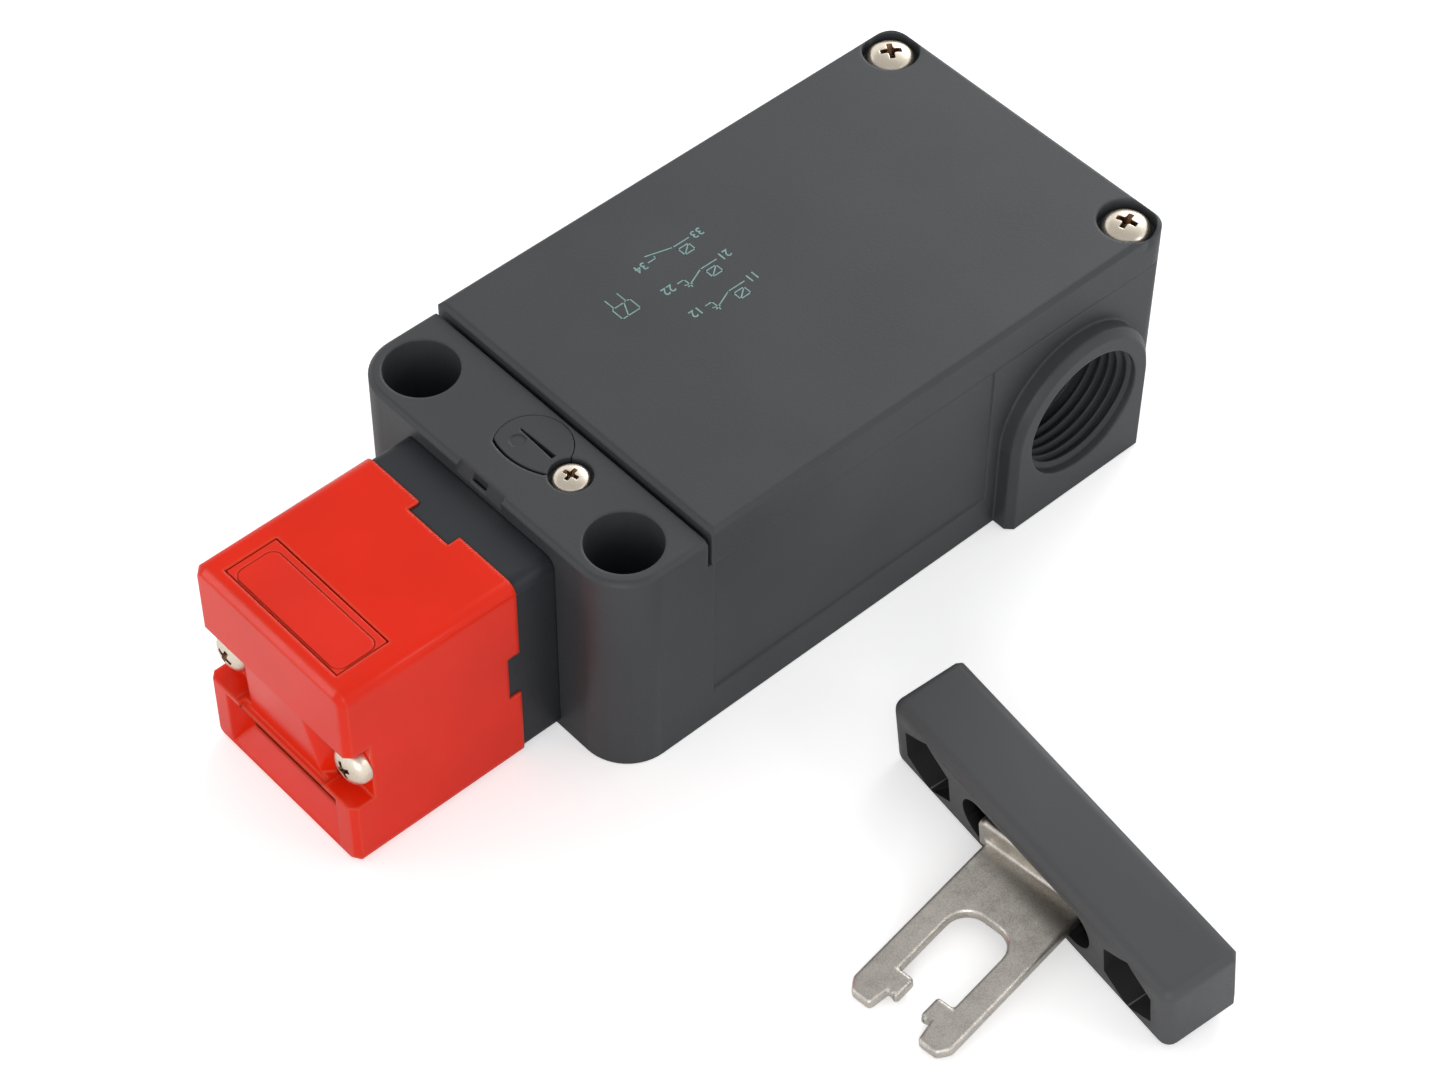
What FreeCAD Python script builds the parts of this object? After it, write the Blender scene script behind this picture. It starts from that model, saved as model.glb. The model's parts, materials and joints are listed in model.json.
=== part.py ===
import FreeCAD, Part
import math
import os

# Tongue interlock switch with guard locking, and its separate tongue key.
# Millimetres. X runs along the switch with the red head towards -X, Z is up
# from the mounting face, and the origin is the point midway between the two
# fixing holes on that face. The key lies beside the switch on the same plane.

V = FreeCAD.Vector
X = V(1, 0, 0)
Y = V(0, 1, 0)
Z = V(0, 0, 1)

# ---- driving dimensions -------------------------------------------------
BODY_W = 54.0            # housing width
SHOULDER_FRONT = -7.0    # front face of the fixing shoulder
BODY_REAR = 91.2         # rear face of the housing
SHOULDER_TOP = 36.2
COVER_TOP = SHOULDER_TOP + 1.3
COVER_H = 6.2
COVER_SEAM = COVER_TOP - COVER_H  # parting plane of cover and housing
COVER_FRONT = 8.5
GROOVE_W = 0.7           # groove between the shoulder and the cover
WALL = 2.6
PANEL_LOW = 6.0          # lower edge of the faint side panels
FLOOR = 3.0
CAVITY_FRONT = 11.8
SCOOP_HALF = 4.4         # relief in the shoulder's front edge, over the neck
SCOOP_IN = 0.9
SCOOP_DEEP = 1.9
SCOOP_SLOT_Y = 0.3
SCOOP_SLOT_LEN = 2.7
SHOULDER_R = 7.0         # plan corners of the shoulder
REAR_R = 3.0             # plan corners of the rear
EDGE_R = 0.6             # broken edges of the mouldings
FIT_GAP = 0.3            # clearance between pieces that move past each other
RUN_GAP = 0.05           # running clearance of a shaft

FIXING_PITCH = 40.0
FIXING_R = 2.65          # clearance for an M5 screw
FIXING_SINK_R = 5.2
FIXING_SINK_FLOOR = 12.0

ENTRY_X = 73.8           # conduit entries, M20 x 1.5
ENTRY_Z = 14.9
ENTRY_R = 10.0           # root of the thread, drawn as a plain bore
ENTRY_DEPTH = 9.6
ENTRY_MEMBRANE = 1.4     # knock-out wall left at the bottom of the entry
ENTRY_BOSS_R = 13.1
ENTRY_BOSS_OUT = 3.1     # how far the boss stands out from the wall
ENTRY_BOSS_SOFT = 1.0    # bevel round the boss

COVER_SCREW_X = BODY_REAR - 4.3
COVER_SCREW_Y = BODY_W / 2 - 4.2
COVER_POCKET_R = 4.1
RIB_PITCH = (BODY_REAR - COVER_FRONT) / 4
COVER_POCKET_DEPTH = 2.5
COVER_SKIN = 2.2
GASKET_W = 1.2
GASKET_IN = 1.3          # gasket's distance from the outer wall
GASKET_SUNK = 0.7

SCREW_R = 1.6            # shank of the cover screws
SCREW_HEAD_R = 3.2
SCREW_HEAD_H = 2.3
COVER_SCREW_BITE = 6.0   # how far the cover screws go into the housing

HEAD_FRONT = -41.2
HEAD_REAR = -13.5
HEAD_W = 30.0
HEAD_H = SHOULDER_TOP - 2.4
HEAD_MID_Z = HEAD_H / 2
HEAD_EDGE_R = 1.8
HEAD_RIM = 0.9           # bevel round the front face
HEAD_CAVITY_HALF = 9.8
HEAD_CAVITY_FRONT = -38.4
HEAD_CAVITY_FLOOR = 3.4
HEAD_CAVITY_ROOF = HEAD_H - 5.2
HEAD_SCREW_Y = HEAD_W / 2 - 2.8
HEAD_SCREW_R = 1.5
HEAD_SCREW_HEAD_R = 3.0
HEAD_SCREW_END = -9.2    # the screws bite in the neck and end short of the shoulder
HEAD_SCREW_HEAD_H = 2.6
POCKET_HALF_H = 5.2      # screw pockets in the front of the head
POCKET_DEPTH = 3.6
POCKET_INNER_Y = 8.6
WEDGE_TOP_HALF = 4.9     # ramp between the two pockets
WEDGE_LOW_HALF = 5.6
WEDGE_SET_BACK = 1.1
MOUTH_HALF = 11.4        # funnel mouth of the key slot
MOUTH_LOW = 0.9
MOUTH_HIGH = HEAD_MID_Z - 5.9
FUNNEL_DEPTH = 4.6
NOTCH_HALF = 3.9         # key notches between head and neck
NOTCH_DEPTH = 1.8
PLUG_X = -34.75
PLUG_LEN = 7.8
PLUG_HALF = 11.1
PLUG_THICK = 1.0
PLUG_SUNK = 0.8          # the plug lies below the head's top
PLUG_CORNER = 1.1
PLUG_GROOVE = 0.25

NECK_INSET = 0.3
NECK_R = 1.8
COLLAR_HALF = 8.8        # square collar that centres the neck in the shoulder
COLLAR_LEN = 2.8

CAM_X = -26.8            # axis of the cam wheel
CAM_Z = HEAD_MID_Z - 1.7
CAM_R = 9.9
CAM_HALF = 3.5
CAM_TURN = 40.0          # degrees turned by a key going right in
CAM_LIFT = 4.0           # travel it gives the push rod
CAM_SPIRAL_R = 4.6       # radius of the spiral where the push rod rests
AXLE_R = 2.0
TONGUE_T = 2.0           # thickness of the key's tongue
TONGUE_SLOT_Z = CAM_Z - CAM_R + 0.7   # its underside inside the head
TONGUE_TOP = TONGUE_SLOT_Z + TONGUE_T
LOCK_DISC_IN = 4.9
LOCK_DISC_OUT = 7.7
LOCK_DISC_R = 9.2
CRADLE_IN = 8.5
CRADLE_OUT = 9.6

ROD_R = 2.4              # half the thickness of the square plunger
NOSE_LEN = 3.4           # tapered nose that rides on the spiral
NOSE_TIP_R = 0.4
NOSE_GAP = 0.55
BOLT_Y = 6.3             # lock bolt, beside the push rod
BOLT_R = 1.5             # half the thickness of the square bolt
BOLT_TRAVEL = 2.5
ARMATURE_Y = BODY_W / 4
ARMATURE_R = 3.5
ARMATURE_LEN = 22.0

DISC_X = 2.1             # lock release cap in the shoulder
DISC_R = 5.2
DISC_DEPTH = 5.0
CAP_FLANK_R = 10.7       # shallow flank on the cap's head side
CAP_FLANK_IN = 3.5
CAP_FLANK_Y = 0.9
CAP_FLANK_GAP = 0.4      # the gap is wider along the flank
CAP_CORNER = 0.8
CAP_SLOT_X = 0.65
CAP_SLOT_HALF = 3.3
CAP_SLOT_DEPTH = 1.6
CAP_GAP = 0.12
STEM_HALF = 1.8          # square stem that reaches down to the lock
RELEASE_SCREW_X = 2.4
RELEASE_SCREW_Y = -7.0
RELEASE_HEAD_R = 2.55
RELEASE_HEAD_H = 1.5
RELEASE_POCKET_R = 3.0
RELEASE_SINK = 1.4
RELEASE_SHANK_R = 1.15

KEY_LEN = 56.0           # block of the separate key
KEY_DEPTH = 11.4
KEY_H = 13.0
KEY_EDGE_R = 1.6
KEY_END_BEVEL = 0.9
KEY_WALL = 2.2
KEY_HOLE_PITCH = 40.6
KEY_HEX_FLATS = 9.1      # pockets for the fixing screws' heads
KEY_HEX_DEPTH = 5.5
KEY_HOLE_R = 2.65        # clearance for an M5 screw
KEY_SLOT_HALF = 12.9
KEY_SLOT_LOW = -3.6
KEY_SLOT_HIGH = 3.9
KEY_X = 23.7
KEY_Y = -75.8
KEY_HEADING = 172.7      # degrees about Z from +X to the block's front
KEY_DIP = 6.7            # degrees the front leans down onto the tongue's tips
TONGUE_HALF = 8.1
TONGUE_LEN = 31.7
TONGUE_SWING = 12.3      # degrees the tongue lies off square, to its stop
TONGUE_BOTTOM = -3.3
TONGUE_OFFSET = -0.6     # pivot's place along the block
PRONG_INNER = 4.4
SLOT_APEX = 13.2
SLOT_CORNER = 3.2
LUG_GAP_HALF = 1.9
LUG_START = 25.4
LUG_END = 28.9
TONGUE_ROOT = 1.6        # plate behind the pivot; its corners meet the back plate
FLANGE_HALF = 9.6
FLANGE_TOP = 2.2
PIVOT_R = 1.5


# ---- helpers ------------------------------------------------------------
def box(x0, x1, y0, y1, z0, z1):
    return Part.makeBox(x1 - x0, y1 - y0, z1 - z0, V(x0, y0, z0))


def rod(start, direction, radius, length):
    return Part.makeCylinder(radius, length, start, direction)


def prism(points, path):
    outline = Part.makePolygon(points + points[:1])
    return Part.Face(outline).extrude(path)


def both_sides(shape):
    return [shape, shape.mirror(V(0, 0, 0), Y)]


def one(shapes):
    return shapes[0].multiFuse(shapes[1:]).removeSplitter()


def cut(shape, tools):
    return shape.cut(Part.makeCompound(tools))


def is_along(edge, axis):
    a = edge.Vertexes[0].Point
    b = edge.Vertexes[-1].Point
    return len(edge.Vertexes) == 2 and (b - a).cross(axis).Length < 1e-6


def edges_where(shape, test):
    return [e for e in shape.Edges if test(e)]


def write(name, shape):
    shape.exportStep("parts/" + name + ".step")


def rounded_box(x0, x1, y0, y1, z0, z1, radius, axis=Z):
    block = box(x0, x1, y0, y1, z0, z1)
    return block.makeFillet(radius, edges_where(block, lambda e: is_along(e, axis)))


def group(solids):
    return Part.makeCompound(solids)


def hex_bar(start, corner_r, length):
    """Six-sided bar that rises along Z from start."""
    turns = [math.radians(60 * step) for step in range(6)]
    return prism([start + V(corner_r * math.cos(t), corner_r * math.sin(t), 0) for t in turns],
                 V(0, 0, length))


def plain_screw(head_r, head_h, shank_r, length):
    """Round head seated at z = 0; the threaded shank is a six-sided bar along -Z."""
    return rod(V(0, 0, 0), Z, head_r, head_h).fuse(hex_bar(V(0, 0, -length), shank_r, length))


def turned(shape, start, direction):
    placed = shape.copy()
    there = FreeCAD.Placement(start, FreeCAD.Rotation(Z, direction))
    placed.Placement = there.multiply(placed.Placement)
    return placed


def coil_spring(start, direction, radius, wire, length, turns):
    """Spring of square wire that fills exactly the length given, six straights to a turn."""
    half = wire / 2
    steps = 6 * turns
    rise = (length - wire) / steps
    corners = []
    for step in range(steps + 1):
        turn = math.radians(60 * step)
        corners.append(V(radius * math.cos(turn), radius * math.sin(turn), half + rise * step))
    rings = []
    for corner in corners:
        out = V(corner.x, corner.y, 0)
        out.normalize()
        ring = [corner - out * half - Z * half, corner + out * half - Z * half,
                corner + out * half + Z * half, corner - out * half + Z * half]
        rings.append(Part.makePolygon(ring + ring[:1]))
    return turned(Part.makeLoft(rings, True, True), start, direction)


# ---- housing ------------------------------------------------------------
def entry_boss(reach_in):
    """Arched boss about the Z axis' origin; its face is z = 0 and it grows along -Z.

    Local x is level and local y is up, with y = 0 at the entry's centre.
    """
    outside = ENTRY_BOSS_OUT + 1
    arch = one([
        rod(V(0, 0, -outside), Z, ENTRY_BOSS_R, outside),
        box(-ENTRY_BOSS_R, ENTRY_BOSS_R, -ENTRY_Z, 0, -outside, 0),
    ])
    rim = edges_where(arch, lambda e: e.BoundBox.ZMin > -1e-6 and e.BoundBox.YMax > -ENTRY_Z + 1e-3)
    arch = arch.makeChamfer(ENTRY_BOSS_SOFT, rim)
    inside = box(-ENTRY_BOSS_R, ENTRY_BOSS_R, -ENTRY_Z, ENTRY_BOSS_R, -reach_in, -outside)
    return arch.fuse(inside)


def entry_bore():
    """Room for the conduit's thread."""
    return rod(V(0, 0, -ENTRY_DEPTH), Z, ENTRY_R, ENTRY_DEPTH + 1)


def entry_places():
    """Right, left and rear: the mouth's centre and its outward direction."""
    out = BODY_W / 2 + ENTRY_BOSS_OUT
    return [
        (V(ENTRY_X, -out, ENTRY_Z), V(0, -1, 0), 0),
        (V(ENTRY_X, out, ENTRY_Z), V(0, 1, 0), 180),
        (V(BODY_REAR + ENTRY_BOSS_OUT, 0, ENTRY_Z), V(1, 0, 0), 90),
    ]


def place_entry(shape, place):
    point, _, heading = place
    upright = FreeCAD.Rotation(X, 90)
    facing = FreeCAD.Rotation(Z, heading)
    placed = shape.copy()
    placed.Placement = FreeCAD.Placement(point, facing.multiply(upright))
    return placed


def body_outline(x0, x1, z0, z1, front_r, rear_r):
    block = box(x0, x1, -BODY_W / 2, BODY_W / 2, z0, z1)
    if front_r:
        front = edges_where(block, lambda e: is_along(e, Z) and e.BoundBox.XMax < x0 + 1e-3)
        block = block.makeFillet(front_r, front)
    if rear_r:
        rear = edges_where(block, lambda e: is_along(e, Z) and e.BoundBox.XMin > x1 - 1e-3)
        block = block.makeFillet(rear_r, rear)
    return block


def shoulder_block():
    rear = COVER_FRONT - GROOVE_W
    block = body_outline(SHOULDER_FRONT, rear, 0, SHOULDER_TOP, SHOULDER_R, 0)
    rim = edges_where(block, lambda e: e.BoundBox.ZMin > SHOULDER_TOP - 1e-3
                      and e.BoundBox.XMin < rear - 1e-3)
    return block.makeChamfer(EDGE_R, rim)


def front_scoop():
    """Slanted relief in the shoulder's front top edge, with a small slot in it."""
    front = SHOULDER_FRONT - 1
    slope = SCOOP_DEEP / SCOOP_IN
    profile = [V(SHOULDER_FRONT + SCOOP_IN, -SCOOP_HALF, SHOULDER_TOP),
               V(SHOULDER_FRONT + SCOOP_IN, -SCOOP_HALF, SHOULDER_TOP + 1),
               V(front, -SCOOP_HALF, SHOULDER_TOP + 1),
               V(front, -SCOOP_HALF, SHOULDER_TOP - SCOOP_DEEP - slope)]
    slot = box(SHOULDER_FRONT + 0.3, SHOULDER_FRONT + 0.75, SCOOP_SLOT_Y - SCOOP_SLOT_LEN / 2,
               SCOOP_SLOT_Y + SCOOP_SLOT_LEN / 2, SHOULDER_TOP - SCOOP_DEEP - 0.4, SHOULDER_TOP)
    return [prism(profile, V(0, 2 * SCOOP_HALF, 0)), slot]


def release_cuts():
    """Bore for the release cap, its lock screw and the rod below them."""
    floor_z = SHOULDER_TOP - DISC_DEPTH
    seat = cap_outline(CAP_GAP, CAP_FLANK_GAP, floor_z, DISC_DEPTH + 1)
    stem = stem_bar(RUN_GAP, CAM_Z, floor_z + 1)
    pilot = rod(V(RELEASE_SCREW_X, RELEASE_SCREW_Y, SHOULDER_TOP - 9), Z, RELEASE_SHANK_R, 9)
    return [seat, stem, release_pocket(), pilot]


def square_bar(x0, y, half, length):
    return box(x0, x0 + length, y - half, y + half, CAM_Z - half, CAM_Z + half)


def mechanism_ways(x0, x1):
    """Ways through for the push rod and the lock bolt."""
    length = x1 - x0
    return [square_bar(x0, 0, ROD_R + RUN_GAP, length), square_bar(x0, BOLT_Y, BOLT_R + RUN_GAP, length)]


def gasket_path(inset):
    """Closed line round the rim that passes inside the two cover screws."""
    side = BODY_W / 2 - inset
    rear = BODY_REAR - inset
    front = COVER_FRONT + inset
    step_x = COVER_SCREW_X - COVER_POCKET_R - 1.6 + (GASKET_IN - inset)
    step_y = COVER_SCREW_Y - COVER_POCKET_R - 1.6 + (GASKET_IN - inset)
    half = [V(front, side, 0), V(step_x, side, 0), V(step_x, step_y, 0), V(rear, step_y, 0)]
    return half + [V(p.x, -p.y, 0) for p in reversed(half)]


def gasket_ring(width_extra, z0, z1):
    def slab(inset):
        points = [V(p.x, p.y, z0) for p in gasket_path(inset)]
        return prism(points, V(0, 0, z1 - z0))
    return slab(GASKET_IN - width_extra).cut(slab(GASKET_IN + GASKET_W + width_extra))


def corner_posts(z0, z1, grow):
    """Solid rear corners that carry the cover screws, inside the gasket's step."""
    inner_x = COVER_SCREW_X - COVER_POCKET_R - 3.4 - grow
    inner_y = COVER_SCREW_Y - COVER_POCKET_R - 3.4 - grow
    return both_sides(box(inner_x, BODY_REAR - 1, inner_y, BODY_W / 2 - 1, z0, z1))


def housing():
    lower = body_outline(0, BODY_REAR, 0, COVER_SEAM, 0, REAR_R)
    shell = one([shoulder_block(), lower])
    cavity = box(CAVITY_FRONT, BODY_REAR - WALL, -BODY_W / 2 + WALL, BODY_W / 2 - WALL,
                 FLOOR, COVER_SEAM + 1)
    cavity = cut(cavity, corner_posts(FLOOR - 1, COVER_SEAM + 2, 0))
    shell = shell.cut(cavity)
    reach = ENTRY_DEPTH + ENTRY_MEMBRANE
    places = entry_places()
    shell = one([shell] + [place_entry(entry_boss(reach), p) for p in places])
    shell = cut(shell, [place_entry(entry_bore(), p) for p in places])
    holes = []
    for side in (-1, 1):
        y = side * FIXING_PITCH / 2
        holes.append(rod(V(0, y, -1), Z, FIXING_R, SHOULDER_TOP))
        holes.append(rod(V(0, y, FIXING_SINK_FLOOR), Z, FIXING_SINK_R, SHOULDER_TOP))
        pilot = COVER_SCREW_BITE + 1
        start = V(COVER_SCREW_X, side * COVER_SCREW_Y, COVER_SEAM - pilot)
        holes.append(hex_bar(start, SCREW_R + FIT_GAP, pilot + 1))
    socket = neck_collar(COLLAR_LEN + 0.1, RUN_GAP)
    shell = cut(shell, holes + release_cuts() + mechanism_ways(SHOULDER_FRONT - 3, CAVITY_FRONT + 1) + [socket])
    shell = shell.cut(gasket_ring(0.1, COVER_SEAM - GASKET_SUNK, COVER_SEAM + 1))
    panels = both_sides(box(COVER_FRONT + 0.4, ENTRY_X - ENTRY_BOSS_R - 2.2, BODY_W / 2 - 0.25,
                            BODY_W / 2 + 1, PANEL_LOW, COVER_SEAM + 1))
    return cut(shell, panels + front_scoop())


# ---- cover --------------------------------------------------------------
def cover():
    block = body_outline(COVER_FRONT, BODY_REAR, COVER_SEAM, COVER_TOP, 0, REAR_R)
    top = edges_where(block, lambda e: e.BoundBox.ZMin > COVER_TOP - 1e-3)
    block = block.makeChamfer(EDGE_R, top)
    inside = box(COVER_FRONT + 3.4, BODY_REAR - 3.6, -BODY_W / 2 + 3.6, BODY_W / 2 - 3.6,
                 COVER_SEAM - 1, COVER_TOP - COVER_SKIN)
    inside = cut(inside, corner_posts(COVER_SEAM - 2, COVER_TOP, 0))
    ribs = []
    for place in (1, 2, 3):
        x = COVER_FRONT + place * RIB_PITCH
        ribs.append(box(x, x + 1.4, -BODY_W / 2 + 3.6, BODY_W / 2 - 3.6, COVER_SEAM + 2.2, COVER_TOP))
    block = block.cut(cut(inside, ribs))
    tools = [gasket_ring(0.0, COVER_SEAM - 1, COVER_SEAM + 0.5)]
    for side in (-1, 1):
        y = side * COVER_SCREW_Y
        tools.append(rod(V(COVER_SCREW_X, y, COVER_TOP - COVER_POCKET_DEPTH), Z, COVER_POCKET_R, COVER_H))
        tools.append(rod(V(COVER_SCREW_X, y, COVER_SEAM - 1), Z, SCREW_R + 0.25, COVER_H + 1))
    return cut(block, tools)


def cover_screws():
    seat = COVER_TOP - COVER_POCKET_DEPTH
    screw = plain_screw(SCREW_HEAD_R, SCREW_HEAD_H, SCREW_R, seat - COVER_SEAM + COVER_SCREW_BITE)
    return group([turned(screw, V(COVER_SCREW_X, side * COVER_SCREW_Y, seat), Z)
                  for side in (-1, 1)])


# ---- head and neck ------------------------------------------------------
def facet(side):
    """Slanted cheek between the ramp and a screw pocket."""
    top = HEAD_MID_Z + POCKET_HALF_H
    low = HEAD_MID_Z - POCKET_HALF_H
    front = HEAD_FRONT - 1
    outer = POCKET_INNER_Y + 0.6
    deep = HEAD_FRONT + POCKET_DEPTH
    points = [V(front, side * WEDGE_TOP_HALF, top), V(front, side * outer, top), V(deep, side * outer, top)]
    lower = [V(front, side * WEDGE_LOW_HALF, low), V(front, side * outer, low), V(deep, side * outer, low)]
    return Part.makeLoft([Part.makePolygon(points + points[:1]),
                          Part.makePolygon(lower + lower[:1])], True, True)


def funnel():
    """Mouth of the key slot, narrowing to the tongue."""
    low = TONGUE_SLOT_Z - 0.4
    high = TONGUE_SLOT_Z + TONGUE_T + 0.4
    half = TONGUE_HALF + 0.5

    def frame_at(x, y, z0, z1):
        corners = [V(x, -y, z0), V(x, y, z0), V(x, y, z1), V(x, -y, z1)]
        return Part.makePolygon(corners + corners[:1])
    mouth = frame_at(HEAD_FRONT, MOUTH_HALF, MOUTH_LOW, MOUTH_HIGH)
    throat = frame_at(HEAD_FRONT + FUNNEL_DEPTH, half, low, high)
    flare = Part.makeLoft([mouth, throat], True, True)
    passage = box(HEAD_FRONT + 1, HEAD_CAVITY_FRONT + 4, -half, half, low, high)
    return [flare, passage]


def ramp():
    """Sloping face that leads down from the hood to the slot's lip."""
    top = HEAD_MID_Z + POCKET_HALF_H
    return prism([
        V(HEAD_FRONT - 1, -POCKET_INNER_Y, top),
        V(HEAD_FRONT, -POCKET_INNER_Y, top),
        V(HEAD_FRONT + WEDGE_SET_BACK, -POCKET_INNER_Y, MOUTH_HIGH),
        V(HEAD_FRONT - 1, -POCKET_INNER_Y, MOUTH_HIGH),
    ], V(0, 2 * POCKET_INNER_Y, 0))


def head():
    block = box(HEAD_FRONT, HEAD_REAR, -HEAD_W / 2, HEAD_W / 2, 0, HEAD_H)
    block = block.makeFillet(HEAD_EDGE_R, edges_where(block, lambda e: is_along(e, X)))
    front = edges_where(block, lambda e: e.BoundBox.XMax < HEAD_FRONT + 1e-3)
    block = block.makeChamfer(HEAD_RIM, front)
    low = HEAD_MID_Z - POCKET_HALF_H
    high = HEAD_MID_Z + POCKET_HALF_H
    tools = [box(HEAD_CAVITY_FRONT, HEAD_REAR + 1, -HEAD_CAVITY_HALF, HEAD_CAVITY_HALF,
                 HEAD_CAVITY_FLOOR, HEAD_CAVITY_ROOF)]
    tools += funnel() + [ramp()]
    for side in (-1, 1):
        inner, outer = sorted((side * POCKET_INNER_Y, side * HEAD_W))
        tools.append(rounded_box(HEAD_FRONT - 4, HEAD_FRONT + POCKET_DEPTH, inner, outer,
                                 low, high, 1.2, X))
        tools.append(facet(side))
        tools.append(rod(V(HEAD_FRONT, side * HEAD_SCREW_Y, HEAD_MID_Z), X, HEAD_SCREW_R + 0.15, 40))
    tools += neck_tabs(0.15)
    tools += [plug_seat(), box(PLUG_X - 1.4, PLUG_X + 1.4, -TONGUE_HALF - 0.5, TONGUE_HALF + 0.5,
                               HEAD_CAVITY_ROOF - 1, HEAD_H)]
    return cut(block, tools)


def plug_seat():
    """Square-cornered recess for the blanking plug."""
    half_x = PLUG_LEN / 2 + PLUG_GROOVE
    half_y = PLUG_HALF + PLUG_GROOVE
    return box(PLUG_X - half_x, PLUG_X + half_x, -half_y, half_y,
               HEAD_H - PLUG_SUNK - PLUG_THICK, HEAD_H + 1)


def slot_plug():
    top = HEAD_H - PLUG_SUNK
    plate = rounded_box(PLUG_X - PLUG_LEN / 2, PLUG_X + PLUG_LEN / 2, -PLUG_HALF, PLUG_HALF,
                        top - PLUG_THICK, top, PLUG_CORNER)
    rim = edges_where(plate, lambda e: e.BoundBox.ZMin > top - 1e-3)
    plate = plate.makeChamfer(0.25, rim)
    tongue = box(PLUG_X - 1.3, PLUG_X + 1.3, -TONGUE_HALF, TONGUE_HALF,
                 HEAD_CAVITY_ROOF + 0.4, top - PLUG_THICK)
    return one([plate, tongue])


def neck_tabs(grow):
    """Four square tabs that stop the head turning on the neck."""
    x0 = HEAD_REAR - NOTCH_DEPTH - (0.1 if grow else 0)
    x1 = HEAD_REAR + 1
    half = NOTCH_HALF + grow
    y_out = HEAD_W / 2 - NECK_INSET + (2 if grow else 0)
    z_out = HEAD_H - NECK_INSET + (2 if grow else 0)
    z_low = NECK_INSET - (2 if grow else 0)
    deep = 2.6 + grow
    tabs = both_sides(box(x0, x1, HEAD_W / 2 - deep, y_out, HEAD_MID_Z - half, HEAD_MID_Z + half))
    tabs.append(box(x0, x1, -half, half, HEAD_H - deep, z_out))
    tabs.append(box(x0, x1, -half, half, z_low, deep))
    return tabs


def neck_collar(length, grow):
    half = COLLAR_HALF + grow
    return box(SHOULDER_FRONT - 1, SHOULDER_FRONT + length, -half, half, CAM_Z - half, CAM_Z + half)


def neck():
    block = rounded_box(HEAD_REAR, SHOULDER_FRONT, -HEAD_W / 2 + NECK_INSET, HEAD_W / 2 - NECK_INSET,
                        NECK_INSET, HEAD_H - NECK_INSET, NECK_R, X)
    spigot_y = HEAD_CAVITY_HALF - 0.1
    spigot = box(HEAD_REAR - 1.6, HEAD_REAR + 1, -spigot_y, spigot_y,
                 HEAD_CAVITY_FLOOR + 0.1, HEAD_CAVITY_ROOF - 0.1)
    collar = neck_collar(COLLAR_LEN, 0)
    shape = one([block, spigot, collar] + neck_tabs(0))
    tools = mechanism_ways(HEAD_REAR - 3, SHOULDER_FRONT + 4)
    for side in (-1, 1):
        tools.append(rod(V(HEAD_REAR - 3, side * HEAD_SCREW_Y, HEAD_MID_Z), X, HEAD_SCREW_R,
                         HEAD_SCREW_END + 0.3 - (HEAD_REAR - 3)))
    return cut(shape, tools)


def head_screws():
    seat = HEAD_FRONT + POCKET_DEPTH
    screw = plain_screw(HEAD_SCREW_HEAD_R, HEAD_SCREW_HEAD_H, HEAD_SCREW_R, HEAD_SCREW_END - seat)
    return group([turned(screw, V(seat, side * HEAD_SCREW_Y, HEAD_MID_Z), V(-1, 0, 0))
                  for side in (-1, 1)])


# ---- cam and lock -------------------------------------------------------
def spiral_pocket():
    """Face of the space where the push rod's nose works, centred on the axis.

    Its lower flank is a spiral whose radius grows in step with the angle, so
    the rod's travel is in proportion to the wheel's turn.
    """
    per_degree = CAM_LIFT / CAM_TURN
    run_out = (CAM_R - CAM_SPIRAL_R) / per_degree + 3
    points = []
    for step in range(9):
        angle = run_out * step / 8
        radius = CAM_SPIRAL_R + per_degree * angle
        turn = math.radians(angle)
        points.append(V(radius * math.cos(turn), 0, -radius * math.sin(turn)))
    flank = Part.BSplineCurve()
    flank.interpolate(points)
    far = CAM_R + 3
    end = points[-1]
    sides = Part.makePolygon([end, V(far, 0, end.z), V(far, 0, ROD_R + 0.8),
                              V(CAM_SPIRAL_R, 0, ROD_R + 0.8), points[0]])
    return Part.Face(Part.Wire([flank.toShape()] + sides.Edges))


def cam_wheel():
    wheel = rod(V(0, -CAM_HALF, 0), Y, CAM_R, 2 * CAM_HALF)
    hub = rod(V(0, CAM_HALF, 0), Y, AXLE_R + 1.5, LOCK_DISC_IN - CAM_HALF)
    disc = rod(V(0, LOCK_DISC_IN, 0), Y, LOCK_DISC_R, LOCK_DISC_OUT - LOCK_DISC_IN)
    kept = box(-AXLE_R - 1.5, CAM_R, 0, LOCK_DISC_OUT, TONGUE_TOP + 0.5 - CAM_Z, CAM_R)
    disc = disc.common(kept)
    face = spiral_pocket()
    face.translate(V(0, -CAM_HALF - 1, 0))
    flank = face.extrude(V(0, 2 * CAM_HALF + 1, 0))
    tools = [flank, rod(V(0, -20, 0), Y, AXLE_R + RUN_GAP, 40)]
    for angle in (0, CAM_TURN):
        notch = box(LOCK_DISC_R - BOLT_TRAVEL, LOCK_DISC_R + 3, LOCK_DISC_IN - 0.5, LOCK_DISC_OUT + 1,
                    -BOLT_R - 0.3, BOLT_R + 0.3)
        notch.rotate(V(0, 0, 0), Y, angle)
        tools.append(notch)
    for angle in (90 + CAM_TURN, 180 + CAM_TURN):
        gullet = box(CAM_R - 3.0, CAM_R + 1, -CAM_HALF - 1, CAM_HALF + 1, -2.1, 2.1)
        gullet.rotate(V(0, 0, 0), Y, angle)
        tools.append(gullet)
    shape = cut(one([wheel, hub, disc]), tools)
    shape.translate(V(CAM_X, 0, CAM_Z))
    return shape


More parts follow.
